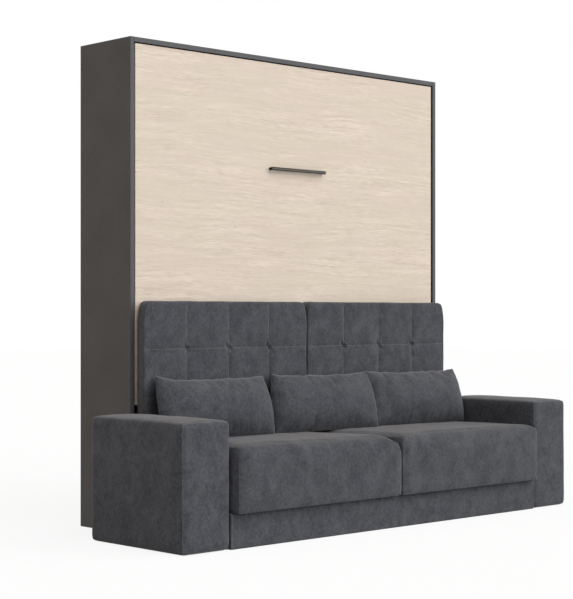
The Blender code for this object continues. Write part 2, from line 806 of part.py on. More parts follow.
def build_sofa_base(board, velour):
    """A low box of boards under the seat cushions, its front rail and back board in fabric."""
    outer = arm_inner - TOUCH
    front = front_y - base_reach
    behind = front + FRONT_BOARD + TOUCH
    deck_low = BASE_HEIGHT - BASE_BOARD
    rear_y = front_y - REAR_BOARD_REACH
    add_box("sofa_front_rail", (-outer + FRONT_SIDE_GAP, front, 0),
            (outer - FRONT_SIDE_GAP, front + FRONT_BOARD, BASE_HEIGHT), velour, edge=PADDED_EDGE)
    inner = outer - SIDE_BOARD
    for side in (-1, 1):
        low, high = span(side, inner, outer)
        add_box("sofa_side_rail_" + side_name(side), (low, behind, 0),
                (high, front_y - TOUCH, deck_low - TOUCH), board)
    reach = inner - TOUCH
    add_box("sofa_rear_rail", (-reach, rear_y - BASE_BOARD, 0), (reach, rear_y, deck_low - TOUCH), board)
    half = CENTRE_BEAM_WIDTH / 2
    add_box("sofa_middle_beam", (-half, behind, 0), (half, rear_y - BASE_BOARD - TOUCH, deck_low - TOUCH),
            board)
    add_box("seat_deck", (-outer, behind, deck_low), (outer, rear_y, BASE_HEIGHT), board)
    side_reach = inner_half - BACK_BOARD_SIDE_GAP
    add_box("seat_back_board", (-side_reach, rear_y - BASE_BOARD, BASE_HEIGHT + TOUCH),
            (side_reach, rear_y, BACK_BOARD_TOP), velour, edge=PADDED_EDGE)


def build_arms(velour):
    """Tall padded arms that stand on the floor outside the cabinet's width."""
    for side in (-1, 1):
        x_low, x_high = span(side, arm_inner, arm_outer)
        low = (x_low, front_y - base_reach - ARM_BEYOND_BASE, 0)
        high = (x_high, front_y - ARM_REAR_GAP, ARM_HEIGHT - ARM_CROWN)

        def place(x, y, z, low=low, high=high):
            point = rounded((x, y, z), low, high, ARM_ROUND)
            u = share_of(point.x, low[0], high[0])
            v = share_of(point.y, low[1], high[1])
            w = share_of(point.z, low[2], high[2])
            point.z += ARM_CROWN * swell(u, 2) * swell(v, 4) * max(w, 0) ** 3
            return point

        xs = round_steps(low[0], high[0], ARM_ROUND, 2)
        ys = round_steps(low[1], high[1], ARM_ROUND, 4)
        zs = round_steps(low[2], high[2], ARM_ROUND, 3)
        shape = lattice_mesh(xs, ys, zs, place)
        add_object("arm_" + side_name(side), shape, velour, smooth=True)


def seat_box(side):
    """Corners of a seat cushion without its crown, slope and bulge."""
    low, high = span(side, SEAT_MIDDLE_GAP / 2, half_width - SEAT_SIDE_GAP)
    base = BASE_HEIGHT + TOUCH
    front = front_y - SOFA_REACH + SEAT_BULGE
    rear = front_y - SEAT_REAR_REACH
    return (low, front, base), (high, rear, base + SEAT_HEIGHT)


def build_seat_cushions(velour):
    """Two thick boxed seat cushions: a crowned top that falls to the rear, and a full front panel.

    Each is much rounder at its upper corner beside the other cushion than beside the arm.
    """
    cushions = []
    outer_steps = corner_steps(SEAT_EDGE, SEAT_OUTER_ROUND)
    inner_steps = corner_steps(SEAT_EDGE, SEAT_INNER_ROUND, WIDE_CORNER_STEP_SHARES)
    front_steps = corner_steps(SEAT_EDGE, SEAT_FRONT_ROUND)
    foot_steps = corner_steps(SEAT_EDGE, SEAT_FOOT_ROUND)
    for side in (-1, 1):
        low, high = seat_box(side)
        rounds = (SEAT_OUTER_ROUND, SEAT_INNER_ROUND) if side < 0 else (SEAT_INNER_ROUND, SEAT_OUTER_ROUND)

        def place(x, y, z, low=low, high=high, rounds=rounds):
            point = rounded((x, y, z), low, high, SEAT_EDGE)
            turn_corners(point, 0, low, high, SEAT_FOOT_ROUND, *rounds)
            turn_corners(point, 1, low, high, SEAT_EDGE, SEAT_FRONT_ROUND, SEAT_FRONT_ROUND)
            u = share_of(point.x, low[0], high[0])
            v = share_of(point.y, low[1], high[1])
            w = share_of(point.z, low[2], high[2])
            rise = SEAT_CROWN * swell(u, 4) * swell(v, 4) + SEAT_SLOPE * (1 - v) / 2
            point.z += rise * max(w, 0) ** 2
            point.y -= SEAT_BULGE * swell(u, 6) * swell(w, 4) * max(-v, 0) ** 3
            point.x -= SEAT_DRAW_IN * u * swell(v, 2) * swell(w, 2)
            return point

        near_left, near_right = (outer_steps, inner_steps) if side < 0 else (inner_steps, outer_steps)
        xs = graded_steps(low[0], high[0], near_left, near_right, 5)
        ys = graded_steps(low[1], high[1], front_steps, front_steps, 5)
        zs = graded_steps(low[2], high[2], foot_steps, sorted(set(outer_steps[:-1] + inner_steps)), 2)
        shape = lattice_mesh(xs, ys, zs, place)
        cushions.append(add_object("seat_cushion_" + side_name(side), shape, velour, smooth=True))
    return cushions


def groove(distance):
    """Depth of a sewn seam at a distance from its line."""
    return SEAM_DEPTH * max(0.0, 1.0 - distance / SEAM_HALF_WIDTH)


def build_backrests(velour):
    """Two padded backrests, each sewn into columns, with a row of pulled-in tufts.

    Their outer sides are drawn in towards the front panel, and they narrow a little at the top.
    """
    rear = facade_front_y - TOUCH
    front = front_y - BACKREST_FRONT
    rows = [backrest_top - TUFT_ROW_PITCH, backrest_top - 2 * TUFT_ROW_PITCH]
    row_edges = [backrest_top] + rows + [backrest_low]
    row_centres = [(a + b) / 2 for a, b in zip(row_edges, row_edges[1:])]
    taper_low = backrest_top - BACKREST_TAPER_REACH
    near = corner_steps(BACKREST_EDGE, BACKREST_CORNER)
    for side in (-1, 1):
        x_low, x_high = span(side, BACKREST_MIDDLE_GAP / 2, backrest_half)
        low = (x_low, front, backrest_low)
        high = (x_high, rear, backrest_top)
        column = (x_high - x_low) / BACKREST_COLUMNS
        seams = [x_low + column * index for index in range(1, BACKREST_COLUMNS)]
        centres = [x_low + column * (index + 0.5) for index in range(BACKREST_COLUMNS)]

        def place(x, y, z, low=low, high=high, seams=seams, side=side, column=column):
            point = rounded((x, y, z), low, high, BACKREST_EDGE)
            turn_corners(point, 0, low, high, BACKREST_EDGE, BACKREST_CORNER, BACKREST_CORNER)
            ahead = max(0.0, share_of(point.y, high[1], low[1]))
            across = min(abs(point.x - seam) for seam in seams)
            along = min(abs(point.z - row) for row in rows)
            depth = max(groove(across), groove(along))
            if across < SEAM_HALF_WIDTH and along < SEAM_HALF_WIDTH:
                depth += TUFT_DEPTH * (1 - across / SEAM_HALF_WIDTH) * (1 - along / SEAM_HALF_WIDTH)
            point.y += depth * ahead
            outer = max(0.0, 1 - (backrest_half - abs(point.x)) / column)
            inner = max(0.0, 1 - abs(point.x) / column)
            back = (point.y - front) / (rear - front)
            top = max(0.0, (point.z - taper_low) / BACKREST_TAPER_REACH) ** 2
            point.x -= side * (backrest_half - backrest_rear_half) * outer * back
            point.x -= side * BACKREST_TAPER * top * (outer - inner)
            return point

        xs = graded_steps(low[0], high[0], near, near, 1) + centres
        for seam in seams:
            xs += [seam - SEAM_HALF_WIDTH, seam, seam + SEAM_HALF_WIDTH]
        zs = graded_steps(low[2], high[2], near[:1] + [BACKREST_EDGE], near + [BACKREST_TAPER_REACH / 2], 1)
        zs += row_centres
        for row in rows:
            zs += [row - SEAM_HALF_WIDTH, row, row + SEAM_HALF_WIDTH]
        ys = round_steps(front, rear, BACKREST_EDGE, 1)
        origin = (0, pivot_y, PIVOT_HEIGHT)
        shape = lattice_mesh(sorted(xs), ys, sorted(zs), place)
        backrest = add_object("backrest_" + side_name(side), shape, velour, origin, smooth=True)
        cut_backrest(backrest, side, rear, velour)


def cut_backrest(backrest, side, rear, velour):
    """Clear the pivot at the backrest's lower outer corner."""
    low, high = span(side, backrest_half - BACKREST_NOTCH_WIDTH, backrest_half + CUT_OVERRUN)
    notch = box_mesh((low, front_y - BACKREST_FRONT - CUT_OVERRUN, backrest_low - CUT_OVERRUN),
                     (high, rear + CUT_OVERRUN, lever_top + BACKREST_NOTCH_CLEARANCE))
    boolean(backrest, "backrest_notch_" + side_name(side), notch, "DIFFERENCE", velour)


def pillow_mesh(centre_x):
    """A pillow with a knife edge, leaning back with its left end turned to the backrest."""
    half_x = PILLOW_WIDTH / 2
    half_z = PILLOW_HEIGHT / 2
    half_y = PILLOW_THICKNESS / 2

    def place(x, y, z):
        u = x / half_x
        w = z / half_z
        full = (swell(u, 2.5) * swell(w, 2.5)) ** 0.5
        edge = PILLOW_SEAM / 2
        thick = edge + (half_y - edge) * full
        return Vector((
            x - PILLOW_CORNER_INSET * u * w ** 2,
            math.copysign(thick, y),
            z - PILLOW_TOP_DIP * max(w, 0) * swell(u, 4),
        ))

    xs = [half_x * share for share in PILLOW_NET_SHARES]
    zs = [half_z * share for share in PILLOW_NET_SHARES]
    bm = lattice_mesh(xs, [-half_y, half_y], zs, place)
    turn = Matrix.Rotation(-PILLOW_TURN, 3, "Z") @ Matrix.Rotation(-PILLOW_LEAN, 3, "X")
    bmesh.ops.rotate(bm, cent=(0, 0, 0), matrix=turn, verts=bm.verts)
    bmesh.ops.translate(bm, vec=(centre_x, 0, 0), verts=bm.verts)
    return bm


def skin_tree(obj):
    """A search tree over an object's own skin, for an object that stands at the origin."""
    points = [vert.co for vert in obj.data.vertices]
    return BVHTree.FromPolygons(points, [face.vertices for face in obj.data.polygons])


def least_drop(bm, seats):
    """The least height of a shape above the seats, measured from the points of both."""
    shape_tree = BVHTree.FromBMesh(bm)
    gaps = []
    for seat in seats:
        seat_tree = skin_tree(seat)
        for vert in bm.verts:
            hit = seat_tree.ray_cast(vert.co, (0, 0, -1))[0]
            if hit is not None:
                gaps.append(vert.co.z - hit.z)
        for vert in seat.data.vertices:
            hit = shape_tree.ray_cast(vert.co, (0, 0, 1))[0]
            if hit is not None:
                gaps.append(hit.z - vert.co.z)
    return min(gaps)


def build_pillows(velour, seats):
    """Three loose pillows that stand on the seat and lean on the backrests, each end before the next.

    Each has its origin on the axis about which it is taken over the seat's front edge to the floor.
    """
    outboard = arm_inner - PILLOW_WIDTH / 2
    rightmost = outboard - PILLOW_RIGHT_GAP
    centres = {
        "left": PILLOW_LEFT_GAP - outboard,
        "middle": rightmost - PILLOW_WIDTH + PILLOW_LAP,
        "right": rightmost,
    }
    rest_back = front_y - BACKREST_FRONT - TOUCH
    floor_front = front_y - SOFA_REACH - PILLOW_HEIGHT
    for word, centre_x in centres.items():
        bm = pillow_mesh(centre_x)
        back = max(vert.co.y for vert in bm.verts)
        bmesh.ops.translate(bm, vec=(0, rest_back - back, backrest_top), verts=bm.verts)
        drop = least_drop(bm, seats) - TOUCH
        bmesh.ops.translate(bm, vec=(0, 0, -drop), verts=bm.verts)
        top = max(vert.co.z for vert in bm.verts)
        origin = (centre_x, (rest_back + floor_front) / 2, (top + FLOOR_GAP) / 2)
        add_object("pillow_" + word, bm, velour, origin, smooth=True)


def build_model():
    """All pieces, each in its own finish."""
    clear_scene()
    graphite = make_material("graphite_board", (0.080, 0.074, 0.070), 0.55)
    sheet = make_material("grey_hardboard", (0.180, 0.175, 0.170), 0.70)
    oak = make_material("bleached_oak_board", (0.730, 0.640, 0.530), 0.50)
    black = make_material("black_metal", (0.020, 0.020, 0.022), 0.40, 0.6)
    steel = make_material("painted_steel", (0.300, 0.310, 0.320), 0.45, 0.7)
    zinc = make_material("zinc_steel", (0.550, 0.560, 0.580), 0.35, 1.0)
    birch = make_material("birch_slat", (0.620, 0.460, 0.290), 0.50)
    board = make_material("raw_board", (0.520, 0.410, 0.280), 0.65)
    velour = make_material("grey_velour", (0.090, 0.092, 0.100), 0.85)
    ticking = make_material("mattress_ticking", (0.800, 0.790, 0.760), 0.85)
    webbing = make_material("strap_webbing", (0.050, 0.050, 0.055), 0.80)
    build_cabinet(graphite, sheet, zinc)
    build_facade(oak, black)
    build_bed_frame(steel, birch)
    build_mattress(ticking, webbing)
    build_pivots(zinc, steel)
    build_gas_springs(zinc, black)
    build_legs(black)
    build_sofa_base(board, velour)
    build_arms(velour)
    seats = build_seat_cushions(velour)
    build_backrests(velour)
    build_pillows(velour, seats)


build_model()
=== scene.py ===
import json
import math

import bmesh
import bpy
from mathutils import Matrix, Vector, noise
from mathutils.bvhtree import BVHTree

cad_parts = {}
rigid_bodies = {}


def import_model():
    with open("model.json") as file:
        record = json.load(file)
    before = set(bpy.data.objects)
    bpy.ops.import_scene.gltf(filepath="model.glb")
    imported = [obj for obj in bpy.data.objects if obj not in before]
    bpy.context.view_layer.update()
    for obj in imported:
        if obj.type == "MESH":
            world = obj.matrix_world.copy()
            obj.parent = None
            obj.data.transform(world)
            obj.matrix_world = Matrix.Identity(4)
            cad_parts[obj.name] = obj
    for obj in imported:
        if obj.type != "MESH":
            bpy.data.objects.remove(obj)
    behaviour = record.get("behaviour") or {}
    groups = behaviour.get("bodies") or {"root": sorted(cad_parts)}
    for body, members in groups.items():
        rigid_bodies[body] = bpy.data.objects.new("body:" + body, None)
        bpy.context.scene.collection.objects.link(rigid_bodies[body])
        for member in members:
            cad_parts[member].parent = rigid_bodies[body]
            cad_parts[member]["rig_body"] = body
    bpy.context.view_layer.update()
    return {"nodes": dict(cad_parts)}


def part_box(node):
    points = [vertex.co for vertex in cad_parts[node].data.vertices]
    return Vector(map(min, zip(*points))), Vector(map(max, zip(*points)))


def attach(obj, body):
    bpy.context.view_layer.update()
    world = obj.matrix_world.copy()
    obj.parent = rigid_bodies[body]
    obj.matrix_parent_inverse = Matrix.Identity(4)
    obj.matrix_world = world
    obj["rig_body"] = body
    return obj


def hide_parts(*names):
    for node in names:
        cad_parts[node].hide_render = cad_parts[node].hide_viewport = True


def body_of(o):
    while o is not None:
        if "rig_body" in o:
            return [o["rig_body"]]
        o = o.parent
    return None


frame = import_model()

scene = bpy.context.scene
nodes = frame["nodes"]
BODY_OF = {name: body_of(node)[0] for name, node in nodes.items()}

# Small helpers


def deselect():
    bpy.ops.object.select_all(action="DESELECT")


def pick(piece):
    """Make one piece the only one selected, and active."""
    deselect()
    piece.select_set(True)
    bpy.context.view_layer.objects.active = piece


def settle(piece):
    """Move a piece's place, turn and scale into its mesh."""
    pick(piece)
    bpy.ops.object.transform_apply(location=True, rotation=True, scale=True)


def block(name, low, high):
    """A cube between two corners, its place in its mesh."""
    low = Vector(low)
    high = Vector(high)
    deselect()
    bpy.ops.mesh.primitive_cube_add(size=1, location=(low + high) / 2, scale=high - low)
    piece = bpy.context.object
    piece.name = name
    settle(piece)
    return piece


def dress(piece, material, body, stands_for=()):
    """Give a piece its material, its body and the nodes that it stands for."""
    piece.data.materials.clear()
    piece.data.materials.append(material)
    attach(piece, body)
    if stands_for:
        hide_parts(*stands_for)


def smooth(piece, degrees=40):
    """Shade a piece smooth, but not over edges sharper than an angle."""
    pick(piece)
    bpy.ops.object.shade_smooth_by_angle(angle=math.radians(degrees))


# Materials


class Net:
    """Adds nodes to a tree and joins them."""

    def __init__(self, tree):
        self.tree = tree
        self.column = 0

    def add(self, kind, feeds=None, **settings):
        node = self.tree.nodes.new("ShaderNode" + kind)
        node.location = (180 * self.column, 0)
        self.column += 1
        for key, value in settings.items():
            setattr(node, key, value)
        for name, value in (feeds or {}).items():
            socket = node.inputs[name]
            if isinstance(value, bpy.types.NodeSocket):
                self.tree.links.new(value, socket)
            else:
                socket.default_value = value
        return node

    def noise(self, vector, scale, detail, roughness, distortion=0.0):
        feeds = {"Vector": vector, "Scale": scale, "Detail": detail, "Roughness": roughness,
                 "Distortion": distortion}
        return self.add("TexNoise", feeds).outputs["Fac"]

    def drawn(self, vector, scale, detail, roughness, distortion=0.0):
        """Noise with a scale of its own along each axis."""
        stretched = self.add("Mapping", {"Vector": vector, "Scale": scale}).outputs["Vector"]
        return self.noise(stretched, 1.0, detail, roughness, distortion)

    def ramp(self, value, low, high, to_low=0.0, to_high=1.0):
        feeds = {"Value": value, "From Min": low, "From Max": high, "To Min": to_low, "To Max": to_high}
        return self.add("MapRange", feeds).outputs["Result"]

    def math(self, operation, one, two=0.5):
        return self.add("Math", {0: one, 1: two}, operation=operation).outputs[0]

    def plus(self, one, two):
        return self.math("ADD", one, two)

    def times(self, one, two):
        return self.math("MULTIPLY", one, two)

    def total(self, *shares):
        """The sum of some values, each times its weight."""
        parts = [self.times(value, weight) for value, weight in shares]
        result = parts[0]
        for part in parts[1:]:
            result = self.plus(result, part)
        return result

    def mix(self, factor, one, two, blend="MIX"):
        node = self.add("Mix", data_type="RGBA", blend_type=blend)
        for index, value in ((0, factor), (6, one), (7, two)):
            if isinstance(value, bpy.types.NodeSocket):
                self.tree.links.new(value, node.inputs[index])
            else:
                node.inputs[index].default_value = value
        return node.outputs[2]

    def bump(self, height, distance, strength, normal=None):
        feeds = {"Height": height, "Distance": distance, "Strength": strength}
        if normal is not None:
            feeds["Normal"] = normal
        return self.add("Bump", feeds).outputs["Normal"]


def new_group(name, colours, values=(), vectors=()):
    """A node group with named inputs, which gives a colour, a roughness and a normal."""
    tree = bpy.data.node_groups.new(name, "ShaderNodeTree")
    for titles, kind in ((colours, "Color"), (values, "Float"), (vectors, "Vector")):
        for title in titles:
            tree.interface.new_socket(title, in_out="INPUT", socket_type="NodeSocket" + kind)
    for title, kind in (("Color", "Color"), ("Roughness", "Float"), ("Normal", "Vector")):
        tree.interface.new_socket(title, in_out="OUTPUT", socket_type="NodeSocket" + kind)
    net = Net(tree)
    entry = tree.nodes.new("NodeGroupInput").outputs
    place = net.add("TexCoord").outputs["Object"]
    return net, entry, place


def close_group(net, colour, rough, normal):
    """Join the results to the group's outputs."""
    leave = net.tree.nodes.new("NodeGroupOutput").inputs
    for title, socket in (("Color", colour), ("Roughness", rough), ("Normal", normal)):
        net.tree.links.new(socket, leave[title])
    return net.tree


def pile_group():
    """Brushed velour: patches where the nap lies another way, a crumbled mottle and the nap's own grain."""
    net, entry, place = new_group("velour pile", ("Base", "Brushed"))
    patches = net.drawn(place, (14.0, 14.0, 11.2), 3.0, 0.6, 0.6)
    mottle = net.noise(place, 84.0, 5.0, 0.70, 0.4)
    brushed = net.drawn(place, (170.0, 170.0, 60.0), 2.0, 0.6)
    specks = net.noise(place, 240.0, 2.0, 0.65)
    grain = net.noise(place, 1500.0, 1.0, 0.5)
    marks = net.total((patches, 0.28), (mottle, 0.34), (brushed, 0.20), (specks, 0.18))
    colour = net.mix(net.ramp(marks, 0.42, 0.58), entry["Base"], entry["Brushed"])
    rough = net.ramp(mottle, 0.3, 0.7, 0.78, 0.92)
    soft = net.bump(net.plus(patches, mottle), 0.0014, 0.6)
    fine = net.bump(net.plus(grain, specks), 0.00035, 0.5, soft)
    return close_group(net, colour, rough, fine)


def grain_group():
    """Wood along X: growth rings that wander and nest, short streaks, pores, and rosy and yellow bands."""
    colours = ("Light", "Dark", "Rose", "Straw")
    net, entry, place = new_group("wood grain", colours, ("Rings", "Streaks", "Depth"))
    wander = net.drawn(place, (1.3, 1.3, 2.2), 2.0, 0.5)
    waver = net.drawn(place, (8.0, 8.0, 18.0), 1.0, 0.5)
    lift = net.plus(net.ramp(wander, 0.3, 0.7, -0.016, 0.016), net.ramp(waver, 0.3, 0.7, -0.0022, 0.0022))
    shift = net.add("CombineXYZ", {"Z": lift}).outputs[0]
    bent = net.add("VectorMath", {0: place, 1: shift}, operation="ADD").outputs[0]
    rings = net.drawn(bent, (3.6, 3.6, 84.0), 3.0, 0.6)
    streaks = net.drawn(bent, (17.0, 17.0, 200.0), 3.0, 0.65)
    pores = net.drawn(bent, (40.0, 40.0, 640.0), 2.0, 0.55)
    bands = net.drawn(place, (1.3, 1.3, 7.5), 3.0, 0.55, 0.3)
    calm = net.drawn(place, (2.6, 2.6, 9.0), 2.0, 0.5)
    lines = net.total((rings, entry["Rings"]), (streaks, entry["Streaks"]), (pores, 0.12))
    lines = net.times(net.math("SUBTRACT", lines, 0.56), net.ramp(calm, 0.36, 0.64, 0.40, 1.35))
    colour = net.mix(net.ramp(lines, -0.18, 0.18), entry["Light"], entry["Dark"])
    tint = net.mix(net.ramp(bands, 0.40, 0.60), entry["Rose"], entry["Straw"])
    colour = net.mix(1.0, colour, tint, "MULTIPLY")
    specks = net.drawn(place, (26.0, 26.0, 90.0), 1.0, 0.5)
    colour = net.mix(net.ramp(specks, 0.76, 0.84, 0.0, 0.30), colour, (0.30, 0.22, 0.15, 1.0))
    rough = net.ramp(streaks, 0.3, 0.7, 0.42, 0.60)
    normal = net.bump(net.plus(streaks, pores), entry["Depth"], 0.6)
    return close_group(net, colour, rough, normal)


def coated_group():
    """Printed board foil or paint: cloudy tone, fine orange-peel, a worn lighter line on the edges."""
    values = ("Cloud", "Grain Scale", "Depth", "Wear")
    net, entry, place = new_group("coated surface", ("Base", "Worn"), values)
    clouds = net.noise(place, 5.0, 4.0, 0.6)
    grain = net.noise(place, entry["Grain Scale"], 3.0, 0.6)
    marks = net.total((clouds, 0.6), (grain, 0.4))
    shade = net.times(net.ramp(marks, 0.3, 0.7, -0.5, 0.5), entry["Cloud"])
    shaded = net.add("HueSaturation", {"Color": entry["Base"], "Value": net.plus(shade, 1.0)})
    corner = net.add("NewGeometry").outputs["Pointiness"]
    rub = net.times(net.ramp(corner, 0.52, 0.62), net.ramp(grain, 0.35, 0.6))
    rub = net.times(rub, entry["Wear"])
    colour = net.mix(rub, shaded.outputs["Color"], entry["Worn"])
    rough = net.ramp(clouds, 0.3, 0.7, 0.40, 0.58)
    return close_group(net, colour, rough, net.bump(grain, entry["Depth"], 0.5))


def metal_group():
    """Rolled or plated metal: long draw marks and spangle."""
    net, entry, place = new_group("drawn metal", ("Base",), ("Depth",), ("Marks",))
    lines = net.drawn(place, entry["Marks"], 3.0, 0.6)
    spangle = net.add("TexVoronoi", {"Vector": place, "Scale": 90.0}).outputs["Distance"]
    marks = net.total((lines, 0.7), (spangle, 0.3))
    bright = net.ramp(marks, 0.2, 0.8, 0.85, 1.12)
    shaded = net.add("HueSaturation", {"Color": entry["Base"], "Value": bright})
    rough = net.ramp(marks, 0.2, 0.8, 0.26, 0.48)
    return close_group(net, shaded.outputs["Color"], rough, net.bump(lines, entry["Depth"], 0.4))


def weave_group():
    """Woven or knitted cloth from crossing waves, with slubs."""
    net, entry, place = new_group("woven cloth", ("Base", "Thread"), ("Count", "Depth"))
    parts = net.add("SeparateXYZ", {0: place}).outputs
    waves = [net.math("SINE", net.times(part, entry["Count"])) for part in parts]
    crossed = net.plus(net.times(waves[0], waves[2]), net.times(waves[1], 0.5))
    slubs = net.noise(place, 120.0, 3.0, 0.6)
    tint = net.plus(net.times(crossed, 0.05), slubs)
    colour = net.mix(net.ramp(tint, 0.3, 0.75), entry["Base"], entry["Thread"])
    rough = net.ramp(slubs, 0.3, 0.7, 0.75, 0.92)
    relief = net.plus(net.times(crossed, 0.2), slubs)
    return close_group(net, colour, rough, net.bump(relief, entry["Depth"], 0.7))


PILE = pile_group()
GRAIN = grain_group()
COATED = coated_group()
METAL = metal_group()
WEAVE = weave_group()


def finish(name, group, feeds, **fixed):
    """A material: one group feeds colour, roughness and normal, and plain numbers sit on the shader."""
    material = bpy.data.materials.new(name)
    material.use_nodes = True
    tree = material.node_tree
    shader = tree.nodes["Principled BSDF"]
    node = tree.nodes.new("ShaderNodeGroup")
    node.node_tree = group
    node.location = (-300, 300)
    for title, value in feeds.items():
        node.inputs[title].default_value = value
    for given, taken in (("Color", "Base Color"), ("Roughness", "Roughness"), ("Normal", "Normal")):
        tree.links.new(node.outputs[given], shader.inputs[taken])
    for title, value in fixed.items():
        shader.inputs[title.replace("_", " ")].default_value = value
    return material


def tone(red, green, blue):
    """A colour as the eye reads it, 0 to 255, turned into linear light."""
    parts = []
    for level in (red, green, blue):
        share = level / 255
        parts.append(share / 12.92 if share < 0.04045 else ((share + 0.055) / 1.055) ** 2.4)
    return (*parts, 1.0)


def pile(name, base, brushed, **fixed):
    return finish(name, PILE, {"Base": tone(*base), "Brushed": tone(*brushed)}, **fixed)


def wood(name, light, dark, straw, rings, streaks, depth, specular, rose=(1.0, 0.96, 0.92)):
    feeds = {"Light": tone(*light), "Dark": tone(*dark), "Rose": (*rose, 1.0), "Straw": (*straw, 1.0),
             "Rings": rings, "Streaks": streaks, "Depth": depth}
    return finish(name, GRAIN, feeds, Specular_IOR_Level=specular)


def coated(name, base, worn, cloud, grain, depth=0.0002, wear=0.5, specular=0.5, metallic=0.0):
    feeds = {"Base": tone(*base), "Worn": tone(*worn), "Cloud": cloud, "Grain Scale": grain, "Depth": depth,
             "Wear": wear}
    return finish(name, COATED, feeds, Specular_IOR_Level=specular, Metallic=metallic)


velour = pile("grey velour", (62, 64, 69), (88, 90, 95), Specular_IOR_Level=0.08, Sheen_Weight=0.36,
              Sheen_Roughness=0.42, Sheen_Tint=tone(216, 212, 210))
# A lighter copy of the grey velour: painted highlight on the seam cords, standing in for the sheen along their
# edges.
highlit_seam_velour = pile("velour seam, painted highlight", (98, 100, 104), (124, 126, 130), Specular_IOR_Level=0.12, Sheen_Weight=0.6,
                   Sheen_Roughness=0.35)
# A lighter copy of the grey velour: painted highlight on the backrest's seam cords, standing in for the sheen
# on the lips of the creases.
highlit_crease_velour = pile("velour crease, painted highlight", (91, 93, 97), (113, 115, 119), Specular_IOR_Level=0.1, Sheen_Weight=0.4,
                     Sheen_Roughness=0.4)
oak = wood("bleached oak board", (233, 221, 209), (202, 189, 173), straw=(0.985, 0.985, 0.925),
           rings=0.45, streaks=0.48, depth=0.0003, specular=0.3, rose=(1.0, 0.972, 0.95))
raw_board = wood("raw board", (172, 152, 124), (128, 108, 82), straw=(1.0, 1.0, 0.94),
                 rings=0.40, streaks=0.60, depth=0.0006, specular=0.2)
birch = wood("birch slat", (226, 196, 150), (188, 152, 106), straw=(1.0, 1.0, 0.95),
             rings=0.5, streaks=0.45, depth=0.0004, specular=0.35)
graphite = coated("graphite board", (69, 64, 61), (92, 89, 87), cloud=0.10, grain=420.0, specular=0.25)
edge_band = coated("graphite edge band", (72, 73, 77), (98, 98, 98), cloud=0.10, grain=500.0, specular=0.3)
handle_face = coated("handle face", (88, 85, 76), (106, 102, 92), cloud=0.22, grain=160.0, wear=0.4,
                     specular=0.4, metallic=0.2)
handle_edge = coated("handle edge", (20, 18, 14), (40, 37, 32), cloud=0.2, grain=700.0, wear=0.3, specular=0.15)
hardboard = coated("grey hardboard", (118, 116, 113), (140, 136, 130), cloud=0.16, grain=260.0, depth=0.0004,
                   wear=0.3, specular=0.2)
black = coated("black metal", (32, 32, 34), (60, 60, 62), cloud=0.2, grain=900.0, depth=0.0003, specular=0.4,
               metallic=0.5)
painted = coated("painted steel", (120, 122, 125), (160, 160, 160), cloud=0.12, grain=700.0, depth=0.0003,
                 wear=0.6, metallic=0.3)
plastic = coated("black plastic", (38, 38, 40), (58, 58, 60), cloud=0.1, grain=1200.0, wear=0.3)
zinc = finish("zinc steel", METAL, {"Base": tone(190, 192, 196), "Marks": (4.0, 4.0, 500.0), "Depth": 0.0002},
              Metallic=0.6)
ticking = finish("mattress ticking", WEAVE,
                 {"Base": tone(214, 210, 202), "Thread": tone(236, 233, 226), "Count": 2600.0,
                  "Depth": 0.0005}, Specular_IOR_Level=0.2, Sheen_Weight=0.2)
webbing = finish("strap webbing", WEAVE,
                 {"Base": tone(44, 44, 47), "Thread": tone(70, 70, 74), "Count": 2100.0, "Depth": 0.0006},
                 Specular_IOR_Level=0.25)

SLOT_LOOKS = {
    "graphite_board": graphite,
    "grey_hardboard": hardboard,
    "oak_board": oak,
    "black_metal": black,
    "painted_steel": painted,
    "zinc_steel": zinc,
    "birch_slat": birch,
    "raw_board": raw_board,
    "grey_velour": velour,
    "ticking": ticking,
    "webbing": webbing,
}
for node in nodes.values():
    for place in node.material_slots:
        place.material = SLOT_LOOKS[place.material.name]

# Soft goods: closed covers on fine nets. Seats and pillows swell as cloth, the others are shaped by formula.


def steps(low, high, size, near, exact=()):
    """Places between two ends, about one size apart, with exact ones near both ends and elsewhere."""
    wanted = [*exact, *(low + offset for offset in near), *(high - offset for offset in near)]
    count = max(1, round((high - low) / size))
    even = [low + (high - low) * index / count for index in range(1, count)]
    fixed = sorted({round(value, 5) for value in wanted if low < value < high} | {low, high})
    kept = [value for value in even if min(abs(value - other) for other in fixed) > 0.45 * size]
    return sorted(fixed + kept)


def net_lines(low, high, sizes, near):
    """The lines of a box's net along each axis."""
    return [steps(low[axis], high[axis], sizes[axis], near) for axis in range(3)]


def cover(name, xs, ys, zs, place):
    """A closed cover of six panels on a net, and the net's place of each of its points."""
    shell = bmesh.new()
    counts = (len(xs) - 1, len(ys) - 1, len(zs) - 1)
    verts = {}
    for i, x in enumerate(xs):
        for j, y in enumerate(ys):
            for k, z in enumerate(zs):
                if i in (0, counts[0]) or j in (0, counts[1]) or k in (0, counts[2]):
                    verts[i, j, k] = shell.verts.new(place(x, y, z))
    for axis in range(3):
        one = (axis + 1) % 3
        two = (axis + 2) % 3
        for end in (0, counts[axis]):
            for a in range(counts[one]):
                for b in range(counts[two]):
                    ring = []
                    for step_a, step_b in ((0, 0), (1, 0), (1, 1), (0, 1)):
                        spot = [end, end, end]
                        spot[one] = a + step_a
                        spot[two] = b + step_b
                        ring.append(verts[tuple(spot)])
                    if end == 0:
                        ring.reverse()
                    shell.faces.new(ring)
    mesh = bpy.data.meshes.new(name)
    shell.to_mesh(mesh)
    shell.free()
    piece = bpy.data.objects.new(name, mesh)
    scene.collection.objects.link(piece)
    return piece, list(verts)


def round_rim(last_one, last_two):
    """The places round the rim of a net's face, in order."""
    rim = [(one, 0) for one in range(last_one)]
    rim += [(last_one, two) for two in range(last_two)]
    rim += [(one, last_two) for one in range(last_one, 0, -1)]
    rim += [(0, two) for two in range(last_two, 0, -1)]
    return rim


